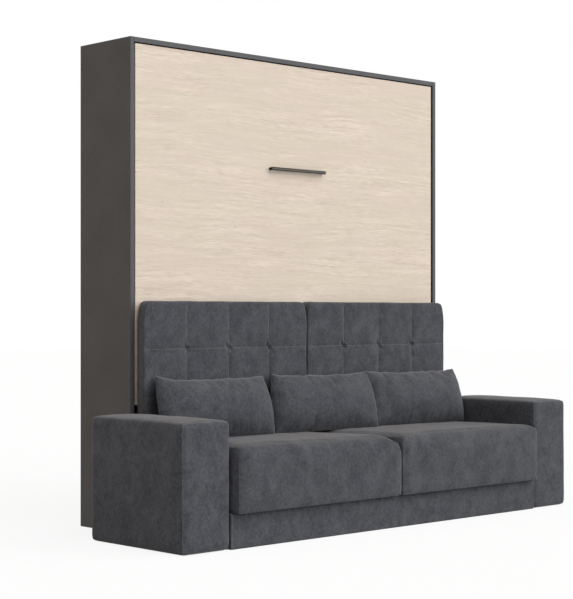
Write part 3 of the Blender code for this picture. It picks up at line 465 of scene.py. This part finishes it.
def on_side(sign, low, high):
    """The two corners of a box that is given for the right side, mirrored if the sign is negative."""
    ends = sorted((sign * low[0], sign * high[0]))
    return (ends[0], *low[1:]), (ends[1], *high[1:])


def rounded(point, low, high, radius):
    """Round all edges of a box by one radius."""
    core = Vector(min(max(point[i], low[i] + radius), high[i] - radius) for i in range(3))
    off = Vector(point) - core
    return core + off.normalized() * radius


def corner_share(across, up, radius, edge):
    """How near a corner of one radius lies beside the same corner with its small edge radius."""
    far = math.hypot(across, up)
    one = abs(across) / far
    two = abs(up) / far
    flat = radius - edge
    if flat <= 0:
        return 1.0
    if min(one, two) / max(one, two) <= flat / radius:
        return max(one, two)
    along = flat * (one + two)
    return radius / (along + math.sqrt(along ** 2 - 2 * flat ** 2 + edge ** 2))


def past_core(value, low, high, radius):
    """How far a value lies in the rounded part at either end of a span."""
    return value - min(max(value, low + radius), high - radius)


def in_low_half(point, axis, low, high):
    return point[axis] < (low[axis] + high[axis]) / 2


def turn_corner(point, one, two, low, high, edge, radius):
    """Round one corner of a box's outline in the plane of two axes by a radius of its own."""
    across = past_core(point[one], low[one], high[one], radius)
    up = past_core(point[two], low[two], high[two], radius)
    if across and up:
        share = corner_share(across, up, radius, edge)
        point[one] -= across * (1 - share)
        point[two] -= up * (1 - share)


def turn_corners(point, axis, low, high, edge, feet, tops):
    """Round the four corners in the plane of Z and one other axis, each by its own radius."""
    ends = feet if in_low_half(point, 2, low, high) else tops
    radius = ends[0] if in_low_half(point, axis, low, high) else ends[1]
    turn_corner(point, axis, 2, low, high, edge, radius)


def turn_uprights(point, low, high, edge, low_end, high_end):
    """Round the two upright edges at the front, each by its own radius."""
    if in_low_half(point, 1, low, high):
        radius = low_end if in_low_half(point, 0, low, high) else high_end
        turn_corner(point, 0, 1, low, high, edge, radius)


def share_of(value, low, high):
    """Where a value lies between two others, from -1 to 1."""
    return max(-1.0, min(1.0, (2 * value - low - high) / (high - low)))


def shares(point, low, high):
    """Where a point lies in a box along each axis, from -1 to 1."""
    return [share_of(point[axis], low[axis], high[axis]) for axis in range(3)]


def to_outline(point, low, high):
    """How far a point lies inside a box's outline, seen from the front."""
    return min(point.x - low[0], high[0] - point.x, point.z - low[2], high[2] - point.z)


def swell(share, power):
    """One in the middle of a side, zero at its ends, and flatter between for higher powers."""
    return 1.0 - abs(share) ** power


def ease(value, start, end):
    """A smooth step from 0 to 1 between two values."""
    share = max(0.0, min(1.0, (value - start) / (end - start)))
    return share * share * (3 - 2 * share)


def hump(value, width):
    """A bell curve, one at zero."""
    return math.exp(-(value / width) ** 2)


def fade(value, length):
    """One at zero, falling off steeply to both sides."""
    return math.exp(-abs(value) / length)


def nearest(places, value):
    """The one of some places that lies nearest to a value."""
    return min(places, key=lambda place: abs(value - place))


CLOTH_FRAMES = 20


def swollen(piece, held, pressure, growth, cap, stiffness):
    """Let the cover swell as cloth from its held points, and no point go further than the cap."""
    start = [vert.co.copy() for vert in piece.data.vertices]
    group = piece.vertex_groups.new(name="held")
    group.add(held, 1.0, "REPLACE")
    cloth = piece.modifiers.new("swelling", "CLOTH")
    feeds = {"quality": 6, "mass": 0.3, "tension_stiffness": stiffness, "compression_stiffness": stiffness,
             "shear_stiffness": stiffness / 2, "bending_stiffness": 0.4, "use_pressure": True,
             "uniform_pressure_force": pressure, "shrink_min": -growth, "vertex_group_mass": "held"}
    for key, value in feeds.items():
        setattr(cloth.settings, key, value)
    cloth.settings.effector_weights.gravity = 0.0
    cloth.collision_settings.use_collision = False
    cloth.point_cache.frame_start = 1
    cloth.point_cache.frame_end = CLOTH_FRAMES
    for frame_number in range(1, CLOTH_FRAMES + 1):
        scene.frame_set(frame_number)
    pick(piece)
    bpy.ops.object.modifier_apply(modifier=cloth.name)
    scene.frame_set(1)
    piece.vertex_groups.clear()
    for vert, old in zip(piece.data.vertices, start):
        move = vert.co - old
        if move.length > 1e-7:
            vert.co = old + move * (cap * math.tanh(move.length / cap) / move.length)


def kept_near(piece, skin, normals, proud, sunk):
    """Keep each point between two distances from the solid's skin."""
    for vert, base, normal in zip(piece.data.vertices, skin, normals):
        out = (vert.co - base).dot(normal)
        if out > 0:
            limited = proud * math.tanh(out / proud)
        else:
            limited = -sunk * math.tanh(-out / sunk)
        vert.co = vert.co + normal * (limited - out)


def ruffled(piece, scale, height, seed, keep):
    """Move a cover's points in and out by waves of one scale and height, as settled filling does."""
    shift = Vector((seed * 7.3, seed * 3.1, seed * 5.7))
    normals = [vert.normal.copy() for vert in piece.data.vertices]
    for vert, normal in zip(piece.data.vertices, normals):
        amount = noise.fractal(vert.co * scale + shift, 0.9, 2.0, 2)
        vert.co += normal * height * amount * keep(vert.co)


def refined(piece):
    """Divide a cover's faces once more, smoothly."""
    modifier = piece.modifiers.new("finer", "SUBSURF")
    modifier.levels = 1
    modifier.render_levels = 1
    pick(piece)
    bpy.ops.object.modifier_apply(modifier=modifier.name)
    pick(piece)
    bpy.ops.object.shade_smooth()


def sewn_cord(name, points, radius, closed, body, material=highlit_seam_velour):
    """A thin sewn cord along a line of points, its ends closed, by default in the lighter velour of painted
    highlight.
    """
    rail = bpy.data.curves.new(name, "CURVE")
    rail.dimensions = "3D"
    rail.bevel_depth = radius
    rail.bevel_resolution = 1
    rail.use_fill_caps = True
    line = rail.splines.new("POLY")
    line.points.add(len(points) - 1)
    for target, point in zip(line.points, points):
        target.co = (*point, 1.0)
    line.use_cyclic_u = closed
    piece = bpy.data.objects.new(name, rail)
    scene.collection.objects.link(piece)
    pick(piece)
    bpy.ops.object.convert(target="MESH")
    piece = bpy.context.object
    bpy.ops.object.shade_smooth()
    dress(piece, material, body)


def skin_of(piece):
    """A search tree over a piece's own faces."""
    faces = [face.vertices for face in piece.data.polygons]
    return BVHTree.FromPolygons([vert.co for vert in piece.data.vertices], faces)


# Seat cushions

SEAT_LOW = (0.001, -0.5295, 0.1483)
SEAT_HIGH = (0.996, 0.0525, 0.4123)
SEAT_NET = 0.0125
SEAT_SINK = 0.004


def seat_cushion(side, lift, rounds, uprights, seed):
    """A boxed seat cushion, crowned, its front panel full, with a radius for each corner of its outline."""
    name = "seat_cushion_" + side
    low, high = on_side(-1 if side == "left" else 1, SEAT_LOW, SEAT_HIGH)
    edge = 0.010
    feet = (edge, 0.022) if side == "left" else (0.022, edge)

    def place(x, y, z):
        point = rounded((x, y, z), low, high, edge)
        turn_uprights(point, low, high, edge, *uprights)
        turn_corners(point, 0, low, high, edge, feet, rounds)
        turn_corners(point, 1, low, high, edge, (edge, edge), (0.036, 0.032))
        u, v, w = shares(point, low, high)
        crown = 0.006 * swell(u, 4) * swell(v, 4)
        forward = 0.012 * (1 - v) / 2
        corner = lift * ease(abs(point.x), 0.30, 0.95) * (1 - ease(v, -0.5, 0.45))
        point.z += (crown + forward + corner) * max(w, 0) ** 2
        point.y -= 0.006 * swell(u, 6) * swell(w, 4) * max(-v, 0) ** 3
        point.x -= 0.004 * u * swell(v, 2) * swell(w, 2)
        return point

    xs, ys, zs = net_lines(low, high, (SEAT_NET,) * 3, (0.003, 0.010, 0.020))
    piece, spots = cover(name + "_cover", xs, ys, zs, place)
    points = piece.data.vertices
    skin = [vert.co.copy() for vert in points]
    normals = [vert.normal.copy() for vert in points]
    last = (len(xs) - 1, len(ys) - 1, len(zs) - 1)
    held = []
    rims = {0: {}, last[0]: {}}
    for index, (i, j, k) in enumerate(spots):
        on_rim = i in rims and (j in (0, last[1]) or k in (0, last[2]))
        if on_rim:
            rims[i][j, k] = index
        if on_rim or k == 0:
            held.append(index)
        if k > 0:
            points[index].co -= normals[index] * SEAT_SINK
    swollen(piece, held, pressure=4.0, growth=0.004, cap=0.010, stiffness=12.0)
    kept_near(piece, skin, normals, proud=0.0015, sunk=0.008)
    ruffled(piece, 5.0, 0.0024, seed, lambda p: ease(p.z, low[2], low[2] + 0.05))
    # The left seam has the cushion's own velour; the right seam has the lighter velour, a painted highlight
    # along that edge.
    for end, word, radius, material in ((0, "left", 0.0009, velour), (last[0], "right", 0.0026, highlit_seam_velour)):
        line = [piece.data.vertices[rims[end][spot]].co.copy() for spot in round_rim(last[1], last[2])]
        sewn_cord(f"{name}_{word}_seam", line, radius, True, BODY_OF[name], material)
    refined(piece)
    dress(piece, velour, BODY_OF[name], [name])


# Loose pillows

PILLOW_HALF = (0.324, 0.075, 0.140)
PILLOW_NET = 0.009
PILLOW_TURN = Matrix.Rotation(math.radians(-3.5), 4, "Z") @ Matrix.Rotation(math.radians(-17.0), 4, "X")


def pillow(word, ears, tuck, draw, seed):
    """A pillow with a knife edge, raised corners and a hollow top edge, leaning on the backrest."""
    name = "pillow_" + word
    half_x, half_y, half_z = PILLOW_HALF
    edge = 0.0025
    inset = 0.017
    hollow = 0.014
    ripple = 0.0060
    gathers = 0.0052
    flat = 0.72

    def allowed(x, z):
        """Half the thickness at one place."""
        return edge + (half_y - edge) * max(0.0, swell(x / half_x, 2.5) * swell(z / half_z, 2.5)) ** 0.5

    def outline(x, z):
        """Where one place of the flat net lies across and up."""
        u = x / half_x
        w = z / half_z
        wave = noise.noise(Vector((x * 23.0, seed * 9.1, w * 2.0)))
        ear = ears[0] * max(0.0, -u) ** 5 + ears[1] * max(0.0, u) ** 5
        up = -hollow * max(w, 0) * swell(u, 4) + ear * max(w, 0) ** 2
        up += ripple * wave * max(w, 0) ** 6 * swell(u, 6)
        drawn = inset - tuck * 0.6 if u < 0 and w < 0 else inset
        side = -tuck * max(0.0, -u) * (1 - w) / 2 - draw * max(0.0, u) * (1 + 0.6 * max(w, 0))
        return x - drawn * u * w ** 2 + side, z + up

    def place(x, y, z):
        across, up = outline(x, z)
        return Vector((across, math.copysign(edge + (allowed(x, z) - edge) * flat, y), up))

    xs = steps(-half_x, half_x, PILLOW_NET, (0.003, 0.008))
    zs = steps(-half_z, half_z, PILLOW_NET, (0.003, 0.008))
    piece, spots = cover(name + "_cover", xs, [-1.0, 1.0], zs, place)
    last = (len(xs) - 1, len(zs) - 1)
    rim = {(i, j, k): index for index, (i, j, k) in enumerate(spots)
           if i in (0, last[0]) or k in (0, last[1])}
    swollen(piece, list(rim.values()), pressure=4.0, growth=0.008, cap=0.022, stiffness=10.0)
    points = piece.data.vertices
    limits = {index: allowed(xs[i], zs[k]) for index, (i, j, k) in enumerate(spots) if (i, j, k) not in rim}
    ratios = sorted(abs(points[index].co.y) / limit for index, limit in limits.items())
    scale = 1.0 / ratios[int(0.85 * len(ratios))]
    excess = 0.003
    for index, limit in limits.items():
        size = abs(points[index].co.y) * scale
        if size > limit:
            size = limit + excess * math.tanh((size - limit) / excess)
        points[index].co.y = math.copysign(size, spots[index][1] - 0.5)
    ruffled(piece, 14.0, 0.0016, seed, lambda p: ease(min(half_x - abs(p.x), half_z - abs(p.z)), 0.0, 0.05))
    for vert, (i, j, k) in zip(points, spots):
        below = half_z - zs[k]
        pucker = noise.noise(Vector((xs[i] * 42.0, seed * 4.7, below * 6.0)))
        near_top = ease(below, 0.0, 0.012) * fade(below, 0.030) * swell(xs[i] / half_x, 6)
        vert.co.y += (-1 if j == 0 else 1) * gathers * pucker * near_top
    solid = [PILLOW_TURN @ Vector((x - inset * (x / half_x) * (z / half_z) ** 2, side * allowed(x, z),
                                   z - hollow * max(z / half_z, 0) * swell(x / half_x, 4)))
             for x in xs for z in zs for side in (-1, 1)]
    low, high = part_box(name)
    middle = Vector()
    for axis in range(3):
        found = min(point[axis] for point in solid) + max(point[axis] for point in solid)
        middle[axis] = (low[axis] + high[axis] - found) / 2
    piece.data.transform(Matrix.Translation(middle) @ PILLOW_TURN)
    line = [(points[rim[i, 0, k]].co + points[rim[i, 1, k]].co) / 2 for i, k in round_rim(*last)]
    turns = (last[0], 2 * last[0] + last[1])
    body = BODY_OF[name]
    # The top seam is in the lighter velour, a painted highlight along it; the lower seam is in the plain
    # velour.
    sewn_cord(name + "_seam", line[turns[0]:turns[1] + 1], 0.0028, False, body)
    sewn_cord(name + "_lower_seam", line[turns[1]:] + line[:turns[0] + 1], 0.0020, False, body, velour)
    refined(piece)
    dress(piece, velour, body, [name])


# Backrests

BACKREST_LOW = (0.001, 0.0895, 0.452)
BACKREST_HIGH = (1.003, 0.1682, 1.031)
BACKREST_SEAMS = (0.2515, 0.502, 0.7525)
BACKREST_ROWS = (0.818, 0.605)
CORD_SINK = 0.0003


def column_bend(dz):
    """How far a column swings out beside a row, to one side above it and to the other below."""
    return 0.0050 * math.copysign(1, dz) * hump(dz, 0.034)


def backrest(side, seed):
    """A padded backrest in four columns, with sewn rows and a pulled-in tuft at each crossing."""
    name = "backrest_" + side
    body = BODY_OF[name]
    sign = -1 if side == "left" else 1
    low, high = on_side(sign, BACKREST_LOW, BACKREST_HIGH)
    front = low[1]
    rear = high[1]
    seams = [sign * seam for seam in BACKREST_SEAMS]
    column_width = 0.2505
    edge = 0.012
    top_radius = 0.022

    def relief(x, z):
        """How far the front is drawn in at one place."""
        across = nearest(seams, x)
        dx = x - across
        dz = z - nearest(BACKREST_ROWS, z)
        column = dx - column_bend(dz)
        grooves = 0.0040 * hump(column, 0.018) + 0.0018 * hump(dz, 0.016)
        creases = 0.0030 * fade(column, 0.0040) + 0.0014 * fade(dz, 0.003)
        along = (dx - dz) * math.sqrt(0.5)
        beside = (dx + dz) * math.sqrt(0.5)
        tuft = 0.0074 * hump(along, 0.024) * hump(beside, 0.0062)
        lips = 0.0068 * hump(beside - 0.0140, 0.0070) + 0.0034 * hump(beside + 0.0140, 0.0070)
        far = math.hypot(dx, dz)
        dish = 0.0038 * hump(far, 0.024)
        pleats = 0.0014 * math.cos(4 * math.atan2(dz, dx) + across * 9.0) * hump(far - 0.020, 0.016)
        return grooves + creases + tuft - lips * hump(along, 0.014) + dish + pleats

    def end_shares(x):
        """How near a place lies to the outer and to the inner end."""
        return max(0.0, 1 - (BACKREST_HIGH[0] - abs(x)) / column_width), max(0.0, 1 - abs(x) / column_width)

    def taper(x, z):
        """How far the ends are drawn in at the top."""
        outer, inner = end_shares(x)
        return sign * 0.020 * max(0.0, (z - 0.931) / 0.100) ** 2 * (outer - inner)

    def place(x, y, z):
        point = rounded((x, y, z), low, high, edge)
        turn_corners(point, 0, low, high, edge, (edge, edge), (top_radius, top_radius))
        ahead = max(0.0, share_of(point.y, rear, front))
        point.y += relief(point.x, point.z) * ahead * ease(to_outline(point, low, high), 0.0, 0.030)
        point.y -= 0.0015 * ahead
        back = (point.y - front) / (rear - front)
        drawn = taper(point.x, point.z)
        point.x -= sign * 0.023 * end_shares(point.x)[0] * back
        point.x -= drawn
        return point

    beside = (0.004, 0.008, 0.013, 0.019, 0.026)
    columns = [seam + way * offset for seam in seams for offset in (0.0015, *beside) for way in (-1, 1)]
    levels = [row + way * offset for row in BACKREST_ROWS for offset in (0.0, *beside) for way in (-1, 1)]
    xs = steps(low[0], high[0], 0.016, (0.004, 0.012, 0.020, 0.030), columns)
    ys = steps(front, rear, 0.014, (0.004, 0.012))
    zs = steps(low[2], high[2], 0.016, (0.004, 0.012, 0.020, 0.030), levels)
    piece, _ = cover(name + "_cover", xs, ys, zs, place)
    ruffled(piece, 9.0, 0.0018, seed, lambda p: ease(rear - p.y, 0.0, 0.03))
    clear_x, clear_z = 0.972, 0.530  # the pivot lies beyond these at the lower outer corner
    for vert in piece.data.vertices:
        if abs(vert.co.x) > clear_x and vert.co.z < clear_z:
            vert.co.x = sign * clear_x
        vert.co.y = min(vert.co.y, rear)
    refined(piece)
    tree = skin_of(piece)

    def sew(word, places, radius):
        """A cord on the front's skin, through some places across and up, in the lighter velour of painted
        highlight.
        """
        hits = [tree.ray_cast(Vector((x, 0.0, z)), Vector((0, 1, 0)))[0] for x, z in places]
        line = [hit + Vector((0, CORD_SINK, 0)) for hit in hits if hit is not None]
        sewn_cord(f"{name}_{word}", line, radius, False, body, highlit_crease_velour)

    heights = [0.480 + (1.018 - 0.480) * index / 71 for index in range(72)]
    for count, seam in enumerate(seams):
        places = [(seam + column_bend(z - nearest(BACKREST_ROWS, z)) - 0.0016 - taper(seam, z), z)
                  for z in heights]
        sew(f"upright_seam_{count + 1}", places, 0.0021)
    start = low[0] + edge
    length = high[0] - low[0] - 2 * edge
    for count, row in enumerate(BACKREST_ROWS):
        places = [(start + length * index / 109, row - 0.0012) for index in range(110)]
        sew(f"level_seam_{count + 1}", places, 0.0011)
    dress(piece, velour, body, [name])


# Arms, front rail and the board behind the seats: foam over a frame, tightly covered


def upholstered(name, radius, size, height, seed, crown=0.0, rear=0.0):
    """A tightly covered block, rounded, crowned on top and padded behind."""
    low, high = (list(corner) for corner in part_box(name))
    high[2] -= crown
    high[1] += rear

    def place(x, y, z):
        point = rounded((x, y, z), low, high, radius)
        u, v, w = shares(point, low, high)
        point.z += crown * swell(u, 2) * swell(v, 4) * max(w, 0) ** 3
        return point

    xs, ys, zs = net_lines(low, high, (size,) * 3, (radius * 0.3, radius, radius * 1.7))
    piece, _ = cover(name + "_cover", xs, ys, zs, place)
    ruffled(piece, 7.0, height, seed, lambda p: ease(p.z, low[2], low[2] + 0.03))
    for vert in piece.data.vertices:
        for axis in range(3):
            vert.co[axis] = min(max(vert.co[axis], low[axis]), high[axis] + crown)
    refined(piece)
    dress(piece, velour, BODY_OF[name], [name])
    return piece


def arm(side, seed):
    """An arm and the thin seams round its front panel."""
    name = "arm_" + side
    tree = skin_of(upholstered(name, radius=0.022, size=0.022, height=0.0018, seed=seed, crown=0.010))
    low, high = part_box(name)
    inset = 0.0065
    corners = [(low[0] + inset, low[2] + inset), (high[0] - inset, low[2] + inset),
               (high[0] - inset, high[2] - inset), (low[0] + inset, high[2] - inset)]
    line = []
    for (x0, z0), (x1, z1) in zip(corners, corners[1:] + corners[:1]):
        count = round(math.hypot(x1 - x0, z1 - z0) / 0.012)
        for index in range(count):
            share = index / count
            aim = Vector((x0 + (x1 - x0) * share, low[1] + inset, z0 + (z1 - z0) * share))
            spot, normal, _, _ = tree.find_nearest(aim)
            line.append(spot - normal * 0.0004)
    # The front seam is in the lighter velour, a painted highlight round the panel's edge.
    sewn_cord(name + "_front_seam", line, 0.0012, True, BODY_OF[name])


# Mattress with its quilted faces and border tapes


def mattress():
    """A mattress with quilted faces and a tape round both of its borders."""
    low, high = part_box("mattress")
    corner = 0.030
    pitch_x = (high[0] - low[0]) / 12
    pitch_z = (high[2] - low[2]) / 13

    def place(x, y, z):
        point = rounded((x, y, z), low, high, corner)
        a = (point.x - low[0]) / pitch_x + (point.z - low[2]) / pitch_z
        b = (point.x - low[0]) / pitch_x - (point.z - low[2]) / pitch_z
        hollow = 1 - abs(math.sin(math.pi * a / 2)) ** 0.45 * abs(math.sin(math.pi * b / 2)) ** 0.45
        ahead = share_of(point.y, low[1], high[1])
        reach = max(0.0, abs(ahead) - 0.4) / 0.6 * ease(to_outline(point, low, high), 0.0, 0.04)
        point.y -= math.copysign(0.007 * hollow * reach, ahead)
        return point

    xs, ys, zs = net_lines(low, high, (0.0165, 0.020, 0.0165), (0.008, 0.020, 0.034))
    piece, _ = cover("mattress_cover", xs, ys, zs, place)
    pick(piece)
    bpy.ops.object.shade_smooth()
    dress(piece, ticking, BODY_OF["mattress"], ["mattress"])
    corners = ((high[0] - corner, high[2] - corner), (low[0] + corner, high[2] - corner),
               (low[0] + corner, low[2] + corner), (high[0] - corner, low[2] + corner))
    for count, y in enumerate((low[1] + 0.012, high[1] - 0.012)):
        ring = []
        for quarter, (x, z) in enumerate(corners):
            for turn in range(0, 91, 15):
                angle = math.radians(90 * quarter + turn)
                ring.append(Vector((x + corner * math.cos(angle), y, z + corner * math.sin(angle))))
        name = f"mattress_border_tape_{count + 1}"
        sewn_cord(name, ring, 0.0032, True, BODY_OF["mattress"], webbing)


seat_cushion("left", lift=0.008, rounds=(0.030, 0.100), uprights=(0.026, 0.010), seed=1)
seat_cushion("right", lift=-0.002, rounds=(0.040, 0.030), uprights=(0.016, 0.010), seed=2)
pillow("left", ears=(0.010, -0.006), tuck=0.0, draw=0.012, seed=3)
pillow("middle", ears=(0.000, -0.002), tuck=0.024, draw=0.010, seed=4)
pillow("right", ears=(-0.002, -0.004), tuck=0.020, draw=0.0, seed=5)
backrest("left", seed=6)
backrest("right", seed=7)
arm("left", seed=8)
arm("right", seed=9)
upholstered("sofa_front_rail", radius=0.006, size=0.020, height=0.0008, seed=10)
upholstered("seat_back_board", radius=0.005, size=0.022, height=0.0008, seed=11, rear=0.008)
mattress()


# Hardware and trim, modelled from primitives in edit mode


def edit(piece, kind, chosen):
    """Open a piece for editing with only the chosen edges or faces selected."""
    pick(piece)
    bpy.ops.object.mode_set(mode="EDIT")
    bpy.ops.mesh.select_mode(type=kind)
    bpy.ops.mesh.select_all(action="DESELECT")
    shell = bmesh.from_edit_mesh(piece.data)
    for element in {"EDGE": shell.edges, "FACE": shell.faces}[kind]:
        if chosen(element):
            element.select_set(True)
    shell.select_flush_mode()
    bmesh.update_edit_mesh(piece.data)


def done():
    bpy.ops.object.mode_set(mode="OBJECT")


def broken_edges(piece, width, segments=2):
    """Bevel every edge of a piece."""
    edit(piece, "EDGE", lambda edge: True)
    bpy.ops.mesh.bevel(offset=width, segments=segments, affect="EDGES")
    done()


def joined(name, pieces):
    """Several pieces made one."""
    deselect()
    for piece in pieces:
        piece.select_set(True)
    bpy.context.view_layer.objects.active = pieces[0]
    bpy.ops.object.join()
    pieces[0].name = name
    return pieces[0]


def copied(piece, matrix):
    """A copy with its own mesh, put in another place."""
    twin = piece.copy()
    twin.data = piece.data.copy()
    scene.collection.objects.link(twin)
    twin.data.transform(matrix)
    return twin


def build_handle():
    """A slim bar handle: a lightly hollowed front face between narrow lips, on a post at each end."""
    low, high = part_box("facade_handle")
    half = high[0] + 0.003
    depth = 0.010
    lip = 0.0030
    hollow = 0.0008
    bar = block("front_handle", (-half, low[1], low[2] - 0.0005), (half, low[1] + depth, high[2] + 0.0005))
    broken_edges(bar, 0.0012)
    edit(bar, "FACE", lambda face: face.normal.y < -0.99 and face.calc_area() > 0.001)
    bpy.ops.mesh.inset(thickness=lip, depth=-hollow)
    done()
    bar.data.materials.append(handle_edge)
    bar.data.materials.append(handle_face)
    for face in bar.data.polygons:
        level = abs(face.center.z - (low[2] + high[2]) / 2) < 0.001
        face.material_index = 1 if level and face.center.y < low[1] + 0.002 else 0
    ends = (half - 0.011, half - 0.0005)
    start = low[1] + depth - 0.0005
    post = block("post", (ends[0], start, low[2] + 0.001), (ends[1], high[1], high[2] - 0.001))
    broken_edges(post, 0.0008)
    post.data.materials.append(handle_edge)
    twin = copied(post, Matrix.Translation((-ends[0] - ends[1], 0, 0)))
    handle = joined("front_handle", [bar, post, twin])
    smooth(handle, 30)
    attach(handle, BODY_OF["facade_handle"])
    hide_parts("facade_handle")


def build_edge_bands():
    """Thin bands glued on the cabinet's front edges."""
    thick = 0.0008
    inset = 0.0002
    for name in ("cabinet_side_left", "cabinet_side_right", "cabinet_top_panel"):
        low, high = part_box(name)
        band = block(name + "_band", (low[0] + inset, low[1] - thick, low[2] + inset),
                     (high[0] - inset, low[1] + 0.0001, high[2] - inset))
        broken_edges(band, 0.0004, 1)
        smooth(band)
        dress(band, edge_band, BODY_OF[name])


def screw_head(name, radius, rise):
    """A domed screw head with a socket, on the XY plane and facing up Z."""
    deselect()
    bpy.ops.mesh.primitive_cylinder_add(vertices=18, radius=radius, depth=rise, location=(0, 0, rise / 2))
    head = bpy.context.object
    head.name = name
    settle(head)
    edit(head, "FACE", lambda face: face.normal.z > 0.9)
    bpy.ops.mesh.inset(thickness=radius * 0.30, depth=rise * 0.22)
    bpy.ops.mesh.inset(thickness=radius * 0.24, depth=0)
    bpy.ops.mesh.inset(thickness=radius * 0.06, depth=-rise * 0.75)
    done()
    smooth(head, 35)
    return head


def set_screws(name, spots, toward, radius, rise, body):
    """One row or field of equal zinc screw heads, all facing one way."""
    pattern = screw_head(name + "_pattern", radius, rise)
    turn = Vector((0, 0, 1)).rotation_difference(Vector(toward)).to_matrix().to_4x4()
    heads = [copied(pattern, Matrix.Translation(Vector(spot)) @ turn) for spot in spots]
    bpy.data.objects.remove(pattern)
    dress(joined(name, heads), zinc, body)


def build_screws():
    """Screw heads along the edges of the back sheets, on the pivot brackets and in the wall angles."""
    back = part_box("back_sheet_left")[1][1] - 0.0002
    spots = [(x, back, 0.060 + 0.2075 * index) for x in (-0.985, -0.030, 0.030, 0.985) for index in range(11)]
    spots += [(0.165 * index, back, z) for index in range(-5, 6) if index for z in (0.040, 2.160)]
    set_screws("back_sheet_screws", spots, (0, 1, 0), radius=0.0042, rise=0.0016, body="root")
    for side, sign in (("left", -1), ("right", 1)):
        name = "pivot_bracket_" + side
        low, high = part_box(name)
        face = high[0] if sign < 0 else low[0]
        levels = (low[2] + 0.018, high[2] - 0.018)
        spots = [(face, y, z) for y in (low[1] + 0.118, high[1] - 0.016) for z in levels]
        set_screws(name + "_screws", spots, (-sign, 0, 0), radius=0.0050, rise=0.0026, body=BODY_OF[name])
        name = "wall_angle_" + side
        low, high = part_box(name)
        steel = 0.003
        reach = 0.030
        for word, y, z, toward in (("top", high[1] - reach, high[2] - steel, (0, 0, -1)),
                                   ("wall", high[1] - steel, high[2] - reach, (0, -1, 0))):
            spots = [(low[0] + shift, y, z) for shift in (0.010, 0.030)]
            set_screws(f"{name}_{word}_screws", spots, toward, radius=0.0042, rise=0.0020, body=BODY_OF[name])


def build_front_seams():
    """Sewn upright edges of the front rail, one beside each arm."""
    low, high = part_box("sofa_front_rail")
    inset = 0.0045
    for side, x in (("left", low[0] + inset), ("right", high[0] - inset)):
        line = [Vector((x, low[1] + 0.0006, low[2] + 0.004 + 0.140 * index / 14)) for index in range(15)]
        # These seams are in the lighter velour, a painted highlight on the rail's upright edges.
        sewn_cord("front_rail_seam_" + side, line, 0.0016, False, BODY_OF["sofa_front_rail"])


def build_buckles():
    """A ladder buckle on each of the mattress straps: three bars between two rails."""
    half_bar, half_rail, half_width, half_height, thick = 0.003, 0.0027, 0.0205, 0.027, 0.004
    parts = [block("bar", (x - half_bar, 0.0, -half_height), (x + half_bar, thick, half_height))
             for x in (-0.018, 0.0, 0.018)]
    parts += [block("rail", (-half_width, 0.0003, z - half_rail), (half_width, thick - 0.0003, z + half_rail))
              for z in (-0.0238, 0.0238)]
    for part in parts:
        broken_edges(part, 0.0012)
    pattern = joined("buckle_pattern", parts)
    smooth(pattern, 30)
    for name in ("strap_low", "strap_high"):
        low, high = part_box(name)
        buckle = copied(pattern, Matrix.Translation((0.42, high[1] + 0.0002, (low[2] + high[2]) / 2)))
        buckle.name = name + "_buckle"
        dress(buckle, plastic, BODY_OF[name])
    bpy.data.objects.remove(pattern)


build_handle()
build_edge_bands()
build_screws()
build_front_seams()
build_buckles()

# Stage, light and camera

WHITE = (1.0, 1.0, 1.0, 1.0)


def seen_rays(net, path):
    """One for the rays by which the camera sees the stage, also in a mirror or through glass."""
    seen = net.math("MAXIMUM", path["Is Camera Ray"], path["Is Glossy Ray"])
    return net.math("MAXIMUM", seen, path["Is Transmission Ray"])


def build_floor():
    """A wide floor that looks nearly white but throws back less light."""
    deselect()
    bpy.ops.mesh.primitive_plane_add(size=60)
    floor = bpy.context.object
    floor.name = "studio_floor"
    material = bpy.data.materials.new("studio floor")
    material.use_nodes = True
    tree = material.node_tree
    net = Net(tree)
    shader = tree.nodes["Principled BSDF"]
    shader.inputs["Roughness"].default_value = 0.9
    path = net.add("LightPath").outputs
    bounce = net.mix(path["Is Camera Ray"], (0.50, 0.50, 0.50, 1.0), WHITE)
    tree.links.new(bounce, shader.inputs["Base Color"])
    glow = net.times(seen_rays(net, path), 0.88)
    white = net.add("Emission", {"Color": WHITE, "Strength": 1.0}).outputs[0]
    both = net.add("MixShader", {0: glow, 1: shader.outputs[0], 2: white})
    tree.links.new(both.outputs[0], tree.nodes["Material Output"].inputs["Surface"])
    floor.data.materials.append(material)


def build_world():
    """A warm, even surrounding light behind a white background."""
    world = bpy.data.worlds.new("studio")
    world.use_nodes = True
    scene.world = world
    tree = world.node_tree
    net = Net(tree)
    ambient = tree.nodes["Background"]
    ambient.inputs["Color"].default_value = (1.0, 0.94, 0.89, 1.0)
    ambient.inputs["Strength"].default_value = 0.53
    seen = seen_rays(net, net.add("LightPath").outputs)
    white = net.add("Background", {"Color": WHITE, "Strength": 1.0}).outputs[0]
    both = net.add("MixShader", {0: seen, 1: ambient.outputs[0], 2: white}).outputs[0]
    tree.links.new(both, tree.nodes["World Output"].inputs["Surface"])


def build_lamp(name, toward):
    """A broad, even studio light that shines from one direction."""
    deselect()
    bpy.ops.object.light_add(type="SUN", location=toward)
    lamp = bpy.context.object
    lamp.name = name
    lamp.data.angle = math.radians(60.0)
    lamp.data.energy = 1.15
    lamp.data.color = (0.985, 1.0, 1.02)
    lamp.rotation_euler = (-Vector(toward)).to_track_quat("-Z", "Y").to_euler()


def build_camera():
    """The photograph's view: standing left of the middle, level, at chest height."""
    deselect()
    bpy.ops.object.camera_add(location=(-5.309, -5.367, 0.975),
                              rotation=(math.radians(90.0), 0.0, math.radians(-43.453)))
    camera = bpy.context.object
    camera.name = "photo_camera"
    camera.data.sensor_width = 36.0
    camera.data.lens = 94.88
    camera.data.shift_y = 0.0233
    camera.data.clip_end = 100.0
    scene.camera = camera


build_floor()
build_world()
build_lamp("right_key_light", (5.5, -5.5, 4.0))
build_lamp("front_key_light", (1.0, -6.5, 5.5))
build_camera()
scene.view_settings.view_transform = "Standard"
